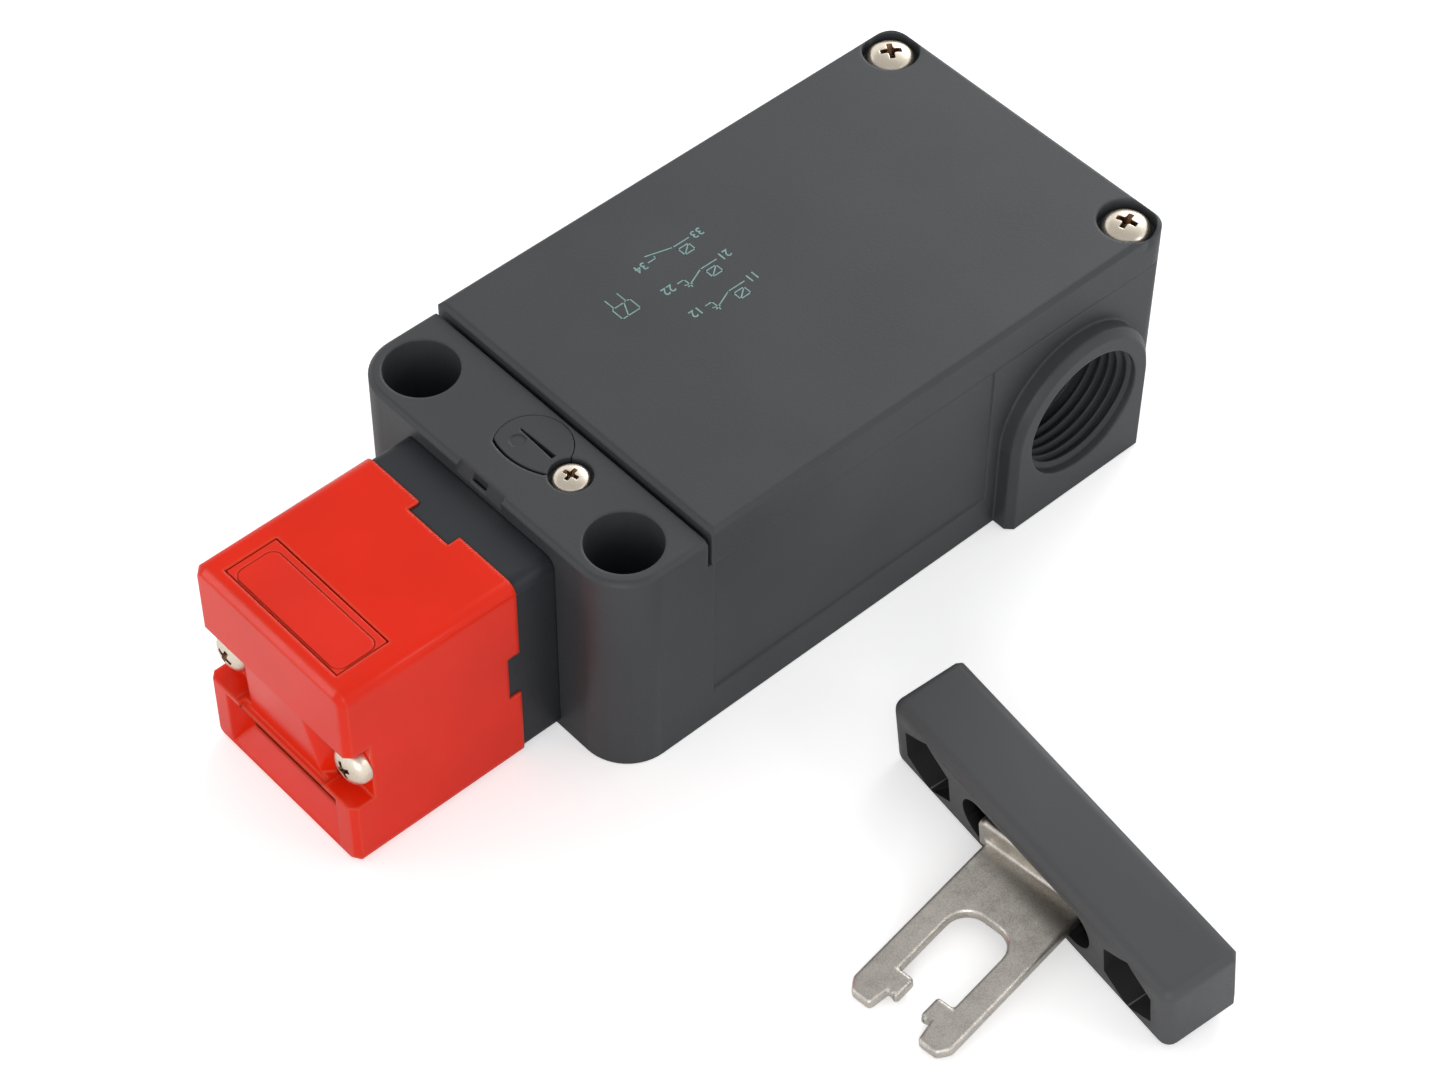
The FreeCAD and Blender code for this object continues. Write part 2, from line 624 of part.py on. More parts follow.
def cam_cradle():
    """Side plates that carry the axle, joined by a rear bar."""
    top = CAM_Z + 8
    low = TONGUE_SLOT_Z + TONGUE_T + 0.8
    plates = []
    for side in (-1, 1):
        y0, y1 = sorted((side * CRADLE_IN, side * CRADLE_OUT))
        plates.append(box(CAM_X - 7, HEAD_REAR - 1.8, y0, y1, low, top))
    bridge = box(HEAD_REAR - 3.2, HEAD_REAR - 1.8, -CRADLE_OUT, CRADLE_OUT, CAM_Z + 4.5, top)
    shape = one(plates + [bridge])
    return shape.cut(rod(V(CAM_X, -20, CAM_Z), Y, AXLE_R, 40))


def cam_axle():
    return rod(V(CAM_X, -CRADLE_OUT, CAM_Z), Y, AXLE_R, 2 * CRADLE_OUT)


ROD_REAR = 14.6
ARM_T = 2.2
ARM_HALF = 3.0


def push_rod():
    """Plunger from the cam's spiral flank back to the contact carrier."""
    tip_x = CAM_X + CAM_SPIRAL_R + NOSE_GAP
    shaft_x = tip_x + NOSE_LEN
    nose = prism([V(tip_x, -ROD_R, CAM_Z - NOSE_TIP_R), V(tip_x, -ROD_R, CAM_Z + NOSE_TIP_R),
                  V(shaft_x, -ROD_R, CAM_Z + ROD_R), V(shaft_x, -ROD_R, CAM_Z - ROD_R)], V(0, 2 * ROD_R, 0))
    shaft = square_bar(shaft_x, 0, ROD_R, ROD_REAR - shaft_x)
    arm = box(ROD_REAR - ARM_T, ROD_REAR, CARRIER_Y - CARRIER_HALF, ROD_R, CAM_Z - ARM_HALF, CAM_Z + ARM_HALF)
    return one([nose, shaft, arm])


CARRIER_Y = 1.0 - BODY_W / 4
BLOCK_FRONT = 19.6
BLOCK_LEN = ENTRY_X - ENTRY_BOSS_R - 0.5 - BLOCK_FRONT
BLOCK_HALF_W = 9.6
BLOCK_TOP = CAM_Z + 8.8
BRIDGE_PITCH = 11.0
BRIDGE_TALL = 3.8
CARRIER_REAR = 53.0      # rear end of the bar that carries the bridges
SPRING_Z = CAM_Z - 1.0
SPRING_SUNK = 2.4
SPRING_R = 1.8
SPRING_WIRE = 0.6
BRIDGE_Z = CAM_Z + 1.4
CONTACT_LOW = BRIDGE_Z - 3.2
CARRIER_LOW = CAM_Z - 4.0
CARRIER_HIGH = CAM_Z + 3.4
BRIDGE_HALF = 1.2        # half the length of a contact rivet
STRIP_T = 0.8
TERMINAL_SHANK_R = 1.5   # clamp screws, simplified to six-sided bars
TERMINAL_HEAD_R = 2.6
TERMINAL_HEAD_H = 1.8
TERMINAL_LEN = 4.5
TERMINAL_OUT = 7.6       # from the carrier's middle out to a clamp screw
TERMINAL_BACK = 1.9
RIVET_OUT = 5.6
RIVET_HALF = 1.2
BRIDGE_OUT = 7.0
CARRIER_HALF = 3.0
CHANNEL_HALF = 3.4
CHANNEL_END = 2.0        # wall left at the rear of the block


def station_x(index):
    return BLOCK_FRONT + 7 + index * BRIDGE_PITCH


def fixed_x(index):
    """Front of a fixed contact: a full stroke behind its bridge."""
    return station_x(index) + BRIDGE_HALF + CAM_LIFT + 0.2


def terminal_place(index, side):
    return V(fixed_x(index) - TERMINAL_BACK, CARRIER_Y + side * TERMINAL_OUT, BLOCK_TOP + STRIP_T)


def contact_block():
    """Block with a channel for the carrier and a bay across it for each bridge."""
    rear = BLOCK_FRONT + BLOCK_LEN
    block = box(BLOCK_FRONT, rear, CARRIER_Y - BLOCK_HALF_W, CARRIER_Y + BLOCK_HALF_W, FLOOR, BLOCK_TOP)
    tools = [box(BLOCK_FRONT - 1, rear - CHANNEL_END, CARRIER_Y - CHANNEL_HALF, CARRIER_Y + CHANNEL_HALF,
                 CARRIER_LOW - FIT_GAP, BLOCK_TOP + 1)]
    bay_half = BRIDGE_OUT + 0.9
    for index in range(3):
        x = station_x(index)
        tools.append(box(x - BRIDGE_HALF - 0.6, fixed_x(index) + STRIP_T, CARRIER_Y - bay_half,
                         CARRIER_Y + bay_half, CONTACT_LOW, BLOCK_TOP + 1))
        tools += [hex_bar(terminal_place(index, side) - TERMINAL_LEN * Z, TERMINAL_SHANK_R, TERMINAL_LEN)
                  for side in (-1, 1)]
    return cut(block, tools)


def contact_carrier():
    """Bar that the plunger pushes, with a slot for each bridge and a bore for the spring."""
    bar = box(ROD_REAR, CARRIER_REAR, CARRIER_Y - CARRIER_HALF, CARRIER_Y + CARRIER_HALF,
              CARRIER_LOW, CARRIER_HIGH)
    slots = []
    for index in range(3):
        x = station_x(index)
        slots.append(box(x - STRIP_T / 2, x + STRIP_T / 2, CARRIER_Y - BRIDGE_OUT, CARRIER_Y + BRIDGE_OUT,
                         BRIDGE_Z - BRIDGE_TALL / 2, CARRIER_HIGH + 1))
    half = SPRING_R + SPRING_WIRE / 2 + 0.1
    slots.append(box(CARRIER_REAR - SPRING_SUNK, CARRIER_REAR + 1, CARRIER_Y - half, CARRIER_Y + half,
                     SPRING_Z - half, SPRING_Z + half))
    return cut(bar, slots)


def rivet(x, y):
    return box(x - BRIDGE_HALF, x + BRIDGE_HALF, y - RIVET_HALF, y + RIVET_HALF,
               BRIDGE_Z - RIVET_HALF, BRIDGE_Z + RIVET_HALF)


def contact_bridges():
    bridges = []
    for index in range(3):
        x = station_x(index)
        strip = box(x - STRIP_T / 2, x + STRIP_T / 2, CARRIER_Y - BRIDGE_OUT, CARRIER_Y + BRIDGE_OUT,
                    BRIDGE_Z - BRIDGE_TALL / 2, BRIDGE_Z + BRIDGE_TALL / 2)
        pads = [rivet(x, CARRIER_Y + side * RIVET_OUT) for side in (-1, 1)]
        bridges.append(one([strip] + pads))
    return group(bridges)


def fixed_contacts():
    """Terminal strips, each bent down so that its wall faces a bridge's rivet."""
    plates = []
    for index in range(3):
        x = fixed_x(index)
        for side in (-1, 1):
            y = CARRIER_Y + side * RIVET_OUT
            wall = box(x, x + STRIP_T, y - 1.5 * RIVET_HALF, y + 1.5 * RIVET_HALF, CONTACT_LOW,
                       BLOCK_TOP + STRIP_T)
            y0, y1 = sorted((y - side * 1.5 * RIVET_HALF, CARRIER_Y + side * BLOCK_HALF_W))
            shelf = box(x - 2 * TERMINAL_BACK, x + STRIP_T, y0, y1, BLOCK_TOP, BLOCK_TOP + STRIP_T)
            hole = hex_bar(terminal_place(index, side) - 2 * STRIP_T * Z, TERMINAL_SHANK_R, 3 * STRIP_T)
            plates.append(one([wall, shelf]).cut(hole))
    return group(plates)


def terminal_screws():
    screw = one([hex_bar(V(0, 0, 0), TERMINAL_HEAD_R, TERMINAL_HEAD_H),
                 hex_bar(V(0, 0, -TERMINAL_LEN), TERMINAL_SHANK_R, TERMINAL_LEN)])
    places = [terminal_place(index, side) for index in range(3) for side in (-1, 1)]
    places += coil_terminal_places()
    return group([turned(screw, place, Z) for place in places])


COIL_FRONT = 20.5
COIL_REAR = 50.5
COIL_CORE_HALF = ARMATURE_R + 1.0
CHEEK_T = 1.2
YOKE_T = 1.6
YOKE_FEET = 1.2          # height of the feet under the yoke
YOKE_HALF = 6.0
COIL_ROOM = 1.2          # between the winding and the yoke
COIL_R = CAM_Z - FLOOR - YOKE_FEET - YOKE_T - COIL_ROOM
COIL_TERMINAL_TOP = CAM_Z + 6.8
COIL_TERMINAL_Y = ARMATURE_Y - 2.0
COIL_TERMINAL_HALF = 6.5
COIL_TERMINAL_LEN = 8.4


def solenoid_yoke():
    """Steel frame bent round the coil, with a hole for the armature."""
    half_h = COIL_R + COIL_ROOM
    outer = box(COIL_FRONT - YOKE_T, COIL_REAR + YOKE_T, ARMATURE_Y - YOKE_HALF, ARMATURE_Y + YOKE_HALF,
                CAM_Z - half_h - YOKE_T, CAM_Z + half_h + YOKE_T)
    inner = box(COIL_FRONT, COIL_REAR, ARMATURE_Y - YOKE_HALF - 1, ARMATURE_Y + YOKE_HALF + 1,
                CAM_Z - half_h, CAM_Z + half_h)
    hole = rod(V(COIL_FRONT - 2 * YOKE_T, ARMATURE_Y, CAM_Z), X, ARMATURE_R + RUN_GAP, 3 * YOKE_T)
    feet = box(COIL_FRONT - YOKE_T, COIL_REAR + YOKE_T, ARMATURE_Y - YOKE_HALF / 2,
               ARMATURE_Y + YOKE_HALF / 2, FLOOR, CAM_Z - half_h - YOKE_T)
    return one([outer.cut(inner), feet]).cut(hole)


def solenoid_bobbin():
    tube = square_bar(COIL_FRONT, ARMATURE_Y, COIL_CORE_HALF, COIL_REAR - COIL_FRONT)
    cheeks = [square_bar(x, ARMATURE_Y, COIL_R + 0.8, CHEEK_T) for x in (COIL_FRONT, COIL_REAR - CHEEK_T)]
    bore = rod(V(COIL_FRONT - 1, ARMATURE_Y, CAM_Z), X, ARMATURE_R + RUN_GAP, COIL_REAR - COIL_FRONT - 2)
    return one([tube] + cheeks).cut(bore)


def solenoid_coil():
    length = COIL_REAR - COIL_FRONT - 2 * CHEEK_T
    winding = rod(V(COIL_FRONT + CHEEK_T, ARMATURE_Y, CAM_Z), X, COIL_R, length)
    return winding.cut(square_bar(COIL_FRONT, ARMATURE_Y, COIL_CORE_HALF, COIL_REAR - COIL_FRONT))


def coil_terminal_places():
    x = COIL_REAR + YOKE_T + COIL_TERMINAL_LEN * 0.6
    return [V(x, COIL_TERMINAL_Y + side * COIL_TERMINAL_HALF * 0.54, COIL_TERMINAL_TOP) for side in (-1, 1)]


def coil_terminal():
    """Plastic block with the coil's two connections and a wall between them."""
    front = COIL_REAR + YOKE_T
    rear = front + COIL_TERMINAL_LEN
    mid = COIL_TERMINAL_Y
    block = box(front, rear, mid - COIL_TERMINAL_HALF, mid + COIL_TERMINAL_HALF, FLOOR, COIL_TERMINAL_TOP)
    wall = box(front, rear, mid - 0.5 * STRIP_T, mid + 0.5 * STRIP_T, FLOOR,
               COIL_TERMINAL_TOP + TERMINAL_HEAD_H)
    holes = [hex_bar(place - TERMINAL_LEN * Z, TERMINAL_SHANK_R, 2 * TERMINAL_LEN)
             for place in coil_terminal_places()]
    return cut(one([block, wall]), holes)


LINK_T = 1.8
LINK_X = CAVITY_FRONT + BOLT_TRAVEL + LINK_T + FIT_GAP    # rear face of the link


def armature():
    return rod(V(LINK_X, ARMATURE_Y, CAM_Z), X, ARMATURE_R, ARMATURE_LEN)


def lock_link():
    plate = box(LINK_X - LINK_T, LINK_X, BOLT_Y - 2.6, ARMATURE_Y + 3.6, CAM_Z - 3.4, CAM_Z + 3.4)
    return plate.cut(square_bar(LINK_X - 5, BOLT_Y, BOLT_R, 9))


def lock_bolt():
    """Square latch bolt with a bevelled nose."""
    tip = CAM_X + LOCK_DISC_R + 0.5
    bolt = square_bar(tip, BOLT_Y, BOLT_R, LINK_X - tip)
    nose = edges_where(bolt, lambda e: e.BoundBox.XMax < tip + 1e-3 and is_along(e, Z))
    return bolt.makeChamfer(0.6, nose)


def lock_spring():
    radius = (ARMATURE_R + SPRING_WIRE / 2 + 3 * RUN_GAP) / math.cos(math.radians(30))
    return coil_spring(V(LINK_X, ARMATURE_Y, CAM_Z), X, radius, SPRING_WIRE,
                       COIL_FRONT - YOKE_T - LINK_X - RUN_GAP, 1)


def return_spring():
    start_x = CARRIER_REAR - SPRING_SUNK
    room = BLOCK_FRONT + BLOCK_LEN - CHANNEL_END - CAM_LIFT - RUN_GAP - start_x
    return coil_spring(V(start_x, CARRIER_Y, SPRING_Z), X, SPRING_R, SPRING_WIRE, room, 2)


# ---- lock release -------------------------------------------------------
def cap_outline(grow, flank_grow, z0, height):
    """Round cap with one shallow flank, so that it sits only one way round."""
    disc = rod(V(DISC_X, 0, z0), Z, DISC_R + grow, height)
    flank = rod(V(DISC_X + CAP_FLANK_R - CAP_FLANK_IN, CAP_FLANK_Y, z0), Z, CAP_FLANK_R + flank_grow, height)
    shape = disc.common(flank)
    corners = edges_where(shape, lambda e: is_along(e, Z) and e.BoundBox.XMax < DISC_X)
    return shape.makeFillet(CAP_CORNER, corners)


def stem_bar(grow, z0, z1):
    half = STEM_HALF + grow
    return box(DISC_X - half, DISC_X + half, -half, half, z0, z1)


def release_cap():
    """Cap with a tapered screwdriver slot and a finger dimple, on a stem."""
    top = SHOULDER_TOP
    plate = cap_outline(0, 0, top - DISC_DEPTH + 0.1, DISC_DEPTH - 0.1)
    stem_low = CAM_Z + ROD_R + 1.2
    stem = stem_bar(0, stem_low, top - DISC_DEPTH + 1)
    slot_x, slot_z = DISC_X + CAP_SLOT_X, top - CAP_SLOT_DEPTH
    slot = prism([V(slot_x - 0.4, -CAP_SLOT_HALF, slot_z), V(slot_x + 0.4, -CAP_SLOT_HALF, slot_z),
                  V(slot_x + 0.15, CAP_SLOT_HALF, slot_z), V(slot_x - 0.15, CAP_SLOT_HALF, slot_z)], V(0, 0, 3))
    dimple = rod(V(DISC_X - 0.9, 2.0, top - 0.15), Z, 1.1, 1)
    return cut(plate.fuse(stem), [slot, dimple, release_pocket()])


def release_pocket():
    return rod(V(RELEASE_SCREW_X, RELEASE_SCREW_Y, SHOULDER_TOP - RELEASE_SINK), Z, RELEASE_POCKET_R, 4)


def release_screw():
    screw = plain_screw(RELEASE_HEAD_R, RELEASE_HEAD_H, RELEASE_SHANK_R, 6)
    return turned(screw, V(RELEASE_SCREW_X, RELEASE_SCREW_Y, SHOULDER_TOP - RELEASE_SINK), Z)


# ---- key ----------------------------------------------------------------
# In the key's own frame x points out of the front, y runs along the block and
# z is up; place_key then lays it beside the switch.
def key_height():
    """Height of the block's middle when its lower front edge rests on the plane."""
    dip = math.radians(KEY_DIP)
    half_x = KEY_DEPTH / 2 - KEY_EDGE_R
    half_z = KEY_H / 2 - KEY_EDGE_R
    return half_x * math.sin(dip) + half_z * math.cos(dip) + KEY_EDGE_R


def place_key(shape):
    dip = FreeCAD.Rotation(Y, KEY_DIP)
    heading = FreeCAD.Rotation(Z, KEY_HEADING)
    placed = shape.copy()
    middle = FreeCAD.Placement(V(KEY_X, KEY_Y, key_height()), heading.multiply(dip))
    placed.Placement = middle.multiply(placed.Placement)
    return placed


def place_tongue(shape):
    swung = shape.copy()
    swung.Placement = FreeCAD.Placement(V(0, TONGUE_OFFSET, 0), FreeCAD.Rotation(Z, TONGUE_SWING))
    return place_key(swung)


def hex_pocket(y):
    """Six-sided pocket with two of its flats upright."""
    corner = KEY_HEX_FLATS / math.sqrt(3)
    floor_x = KEY_DEPTH / 2 - KEY_HEX_DEPTH
    points = []
    for step in range(6):
        turn = math.radians(60 * step)
        points.append(V(floor_x, y + corner * math.sin(turn), corner * math.cos(turn)))
    return prism(points, V(KEY_DEPTH, 0, 0))


def key_block():
    block = box(-KEY_DEPTH / 2, KEY_DEPTH / 2, -KEY_LEN / 2, KEY_LEN / 2, -KEY_H / 2, KEY_H / 2)
    long_edges = edges_where(block, lambda e: is_along(e, Y))
    block = block.makeFillet(KEY_EDGE_R, long_edges)
    ends = edges_where(block, lambda e: e.BoundBox.YLength < 1e-3)
    block = block.makeChamfer(KEY_END_BEVEL, ends)
    tall = KEY_SLOT_HIGH - KEY_SLOT_LOW
    slot = rounded_box(0, KEY_DEPTH, -KEY_SLOT_HALF, KEY_SLOT_HALF, KEY_SLOT_LOW, KEY_SLOT_HIGH,
                       tall / 2 - 0.01, X)
    room = box(-KEY_DEPTH / 2 + KEY_WALL, KEY_DEPTH / 2 - KEY_WALL, -KEY_SLOT_HALF, KEY_SLOT_HALF,
               -KEY_H / 2 + KEY_WALL, KEY_H / 2 - KEY_WALL)
    back = box(-KEY_DEPTH, -KEY_DEPTH / 2 + KEY_WALL, -KEY_SLOT_HALF - 1, KEY_SLOT_HALF + 1,
               -KEY_H / 2 + KEY_WALL, KEY_H / 2 - KEY_WALL)
    tools = [slot, room, back, rod(V(0, TONGUE_OFFSET, -KEY_H / 2 + 0.9), Z, PIVOT_R, KEY_H - 1.8)]
    for side in (-1, 1):
        y = side * KEY_HOLE_PITCH / 2
        tools.append(hex_pocket(y))
        tools.append(rod(V(-KEY_DEPTH, y, 0), X, KEY_HOLE_R, 2 * KEY_DEPTH))
    return cut(block, tools)


def key_backplate():
    return box(-KEY_DEPTH / 2, -KEY_DEPTH / 2 + KEY_WALL, -KEY_SLOT_HALF - 0.9, KEY_SLOT_HALF + 0.9,
               -KEY_H / 2 + KEY_WALL + 0.1, KEY_H / 2 - KEY_WALL - 0.1)


def key_pivot():
    return rod(V(0, TONGUE_OFFSET, -KEY_H / 2 + 0.9), Z, PIVOT_R, KEY_H - 1.8)


def tongue_outline():
    """Half of the tongue's outline, from the gap between its hooks to its root."""
    return [
        V(LUG_END, 0, 0),
        V(LUG_END, LUG_GAP_HALF + 0.8, 0),
        V(LUG_END - 0.4, LUG_GAP_HALF + 1.5, 0),
        V(TONGUE_LEN, LUG_GAP_HALF + 2.0, 0),
        V(TONGUE_LEN, TONGUE_HALF - 1.2, 0),
        V(TONGUE_LEN - 1.7, TONGUE_HALF, 0),
        V(-TONGUE_ROOT, TONGUE_HALF, 0),
    ]


def key_tongue():
    """Stamped tongue: two hooked prongs, and an upturned flange at its root."""
    half = tongue_outline()
    outline = half + [V(p.x, -p.y, 0) for p in reversed(half[1:])]
    plate = prism([p + V(0, 0, TONGUE_BOTTOM) for p in outline], V(0, 0, TONGUE_T))
    low = TONGUE_BOTTOM - 1
    high = TONGUE_BOTTOM + TONGUE_T + 1
    window = box(SLOT_APEX, LUG_START, -PRONG_INNER, PRONG_INNER, low, high)
    apex = edges_where(window, lambda e: is_along(e, Z) and e.BoundBox.XMax < LUG_START)
    window = window.makeFillet(SLOT_CORNER, apex)
    gap = box(LUG_START - 1, TONGUE_LEN, -LUG_GAP_HALF, LUG_GAP_HALF, low, high)
    plate = cut(plate, [window, gap])
    flange = box(2.4, 2.4 + TONGUE_T, -FLANGE_HALF, FLANGE_HALF, TONGUE_BOTTOM, FLANGE_TOP)
    flange = flange.makeFillet(1.6, edges_where(flange, lambda e: is_along(e, X)
                                                and e.BoundBox.ZMin > TONGUE_BOTTOM + 1))
    shape = one([plate, flange])
    return shape.cut(rod(V(0, 0, -20), Z, PIVOT_R + RUN_GAP, 40))


# ---- all pieces ---------------------------------------------------------
FIXED = {
    "housing": housing,
    "cover": cover,
    "cover_gasket": lambda: gasket_ring(0, COVER_SEAM - GASKET_SUNK + 0.1, COVER_SEAM + 0.5),
    "cover_screws": cover_screws,
    "head": head,
    "head_screws": head_screws,
    "slot_plug": slot_plug,
    "neck": neck,
    "cam_wheel": cam_wheel,
    "cam_cradle": cam_cradle,
    "cam_axle": cam_axle,
    "push_rod": push_rod,
    "contact_block": contact_block,
    "contact_carrier": contact_carrier,
    "contact_bridges": contact_bridges,
    "fixed_contacts": fixed_contacts,
    "terminal_screws": terminal_screws,
    "solenoid_yoke": solenoid_yoke,
    "solenoid_bobbin": solenoid_bobbin,
    "solenoid_coil": solenoid_coil,
    "coil_terminal": coil_terminal,
    "armature": armature,
    "lock_link": lock_link,
    "lock_bolt": lock_bolt,
    "lock_spring": lock_spring,
    "return_spring": return_spring,
    "release_cap": release_cap,
    "release_screw": release_screw,
}
LOOSE_KEY = {
    "key_block": lambda: place_key(key_block()),
    "key_backplate": lambda: place_key(key_backplate()),
    "key_pivot": lambda: place_key(key_pivot()),
    "key_tongue": lambda: place_tongue(key_tongue()),
}

os.makedirs("parts", exist_ok=True)
for node, make in {**FIXED, **LOOSE_KEY}.items():
    write(node, make())
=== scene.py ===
import json
import math

import bmesh
import bpy
from bpy.props import FloatProperty, FloatVectorProperty, IntProperty, PointerProperty
from mathutils import Matrix, Vector


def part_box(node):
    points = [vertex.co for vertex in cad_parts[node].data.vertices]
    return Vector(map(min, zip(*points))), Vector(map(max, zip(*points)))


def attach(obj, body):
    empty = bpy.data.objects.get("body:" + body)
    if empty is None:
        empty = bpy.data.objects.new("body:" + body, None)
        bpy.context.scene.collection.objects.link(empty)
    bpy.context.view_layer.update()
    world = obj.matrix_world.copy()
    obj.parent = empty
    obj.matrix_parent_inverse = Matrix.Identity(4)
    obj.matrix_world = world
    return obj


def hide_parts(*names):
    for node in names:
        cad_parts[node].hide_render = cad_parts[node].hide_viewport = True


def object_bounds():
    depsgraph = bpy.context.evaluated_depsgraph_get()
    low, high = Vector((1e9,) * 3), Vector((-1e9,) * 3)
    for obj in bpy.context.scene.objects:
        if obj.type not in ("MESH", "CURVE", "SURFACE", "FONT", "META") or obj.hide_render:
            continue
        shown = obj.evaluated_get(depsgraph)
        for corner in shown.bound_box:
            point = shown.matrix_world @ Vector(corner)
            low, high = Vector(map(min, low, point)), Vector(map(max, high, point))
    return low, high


bl_info = {
    "name": "Tongue interlock switch",
    "version": (1, 0, 0),
    "blender": (4, 5, 0),
    "location": "View3D > Sidebar > Interlock",
    "description": "Dresses the packed switch and its key with finishes, screws, threads and print",
    "category": "Object",
}

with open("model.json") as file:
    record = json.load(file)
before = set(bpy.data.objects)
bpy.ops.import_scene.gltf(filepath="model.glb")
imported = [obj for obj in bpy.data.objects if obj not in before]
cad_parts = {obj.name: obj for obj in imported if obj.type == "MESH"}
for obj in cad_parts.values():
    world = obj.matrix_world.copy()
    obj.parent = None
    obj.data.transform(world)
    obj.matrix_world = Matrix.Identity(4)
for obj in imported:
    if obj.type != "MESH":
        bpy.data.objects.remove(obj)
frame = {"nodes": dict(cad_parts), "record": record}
NODES = frame["nodes"]
MM = 0.001
CAD_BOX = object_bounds()
MIDDLE = (CAD_BOX[0] + CAD_BOX[1]) / 2
HOUSING_LOW, HOUSING_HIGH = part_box("housing")
COVER_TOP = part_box("cover")[1].z
ENTRY_CENTRE = Vector(next(mount["pos_m"] for mount in frame["record"]["mounts"]
                           if mount["name"] == "side_entry"))


# ---- settings

def number(name, description, default, **more):
    return FloatProperty(name=name, description=description, default=default, **more)


def length(name, description, default_mm):
    return number(name, description, default_mm * MM, unit="LENGTH", precision=5, min=0.0)


def angle(name, description, degrees):
    return number(name, description, math.radians(degrees), subtype="ANGLE")


def power(name, description, default):
    return number(name, description, default, unit="POWER", min=0.0)


def share(name, description, default, top=1.0):
    return number(name, description, default, min=0.0, max=top)


def colour(name, description, default):
    return FloatVectorProperty(
        name=name, description=description, default=default, subtype="COLOR", min=0.0, max=1.0)


class InterlockStage(bpy.types.PropertyGroup):
    """The camera, the lamps, the table and the grey card"""
    azimuth: angle("Azimuth", "Where the camera stands round the switch", -41.146)
    elevation: angle("Elevation", "How far the camera stands above the table", 49.063)
    roll: angle("Roll", "Turn of the camera about its own axis", -0.483)
    place: FloatVectorProperty(
        name="Camera place", description="Where the camera stands",
        default=(-0.19587, -0.25189, 0.38758), subtype="TRANSLATION", precision=5)
    lens: number("Lens", "Focal length in millimetres", 93.262)
    shift_x: number("Shift across", "Sideways shift of the lens", 0.03831)
    shift_y: number("Shift up", "Upward shift of the lens", -0.00403)
    floor_size: length("Table", "Width of the pale table", 6000)
    floor_tone: share("Table tone", "How pale the table is", 0.86)
    floor_lift: share("Table lift", "Whiteness added to the table for the camera alone", 0.42)
    ambient: share("Ambient", "Level of the light that comes from all round", 0.72, 4.0)
    ceiling: share("Card", "How bright the card overhead looks in glossy surfaces", 0.5)
    card_height: length("Card height", "Height at which the card hangs", 620)
    card_half: length("Card half width", "Half the width of the card", 820)
    fade_start: length("Card fade start", "Where the card begins to turn white", 300)
    fade_end: length("Card fade end", "Where the card has turned white", 850)
    key_power: power("Overhead lamp", "Power of the overhead lamp", 7.0)
    edge_power: power("Edge lamps", "Power of each small lamp that lights the edges", 0.6)
    side_power: power("Front lamp", "Power of the lamp at the front", 4.8)


class InterlockColours(bpy.types.PropertyGroup):
    """The colours of the pieces that show"""
    housing: colour("Housing", "Dark grey of the housing and cover", (0.0395, 0.0430, 0.0464))
    # Partly the neck's own darker grey, partly painted shade: darkened for the shadow between head
    # and shoulder.
    neck: colour("Neck", "Smoother dark grey of the neck", (0.0175, 0.0195, 0.0240))
    cap: colour("Release cap", "Dark grey of the release cap", (0.036, 0.038, 0.041))
    key: colour("Key body", "Dark grey of the key's body", (0.066, 0.0675, 0.0705))
    # A painted shade: the faces inside the key's pockets take this near-black in place of the key's
    # grey.
    pocket: colour("Key pockets", "Shade inside the key's pockets", (0.012, 0.012, 0.013))
    head: colour("Head", "Red enamel of the head", (0.73, 0.020, 0.0045))
    plug: colour("Slot plug", "Red of the plug on top of the head", (0.72, 0.021, 0.0060))
    print_ink: colour("Print", "Pale ink on the cover", (0.22, 0.37, 0.355))
    screw: colour("Screws", "Bright stainless steel", (0.86, 0.77, 0.64))
    recess: colour("Screw recess", "Warm shade inside a driven cross recess", (0.20, 0.11, 0.055))
    tongue: colour("Tongue", "Tumbled steel of the key's tongue", (0.63, 0.595, 0.54))
    rubber: colour("Seal", "Black rubber", (0.015, 0.015, 0.016))


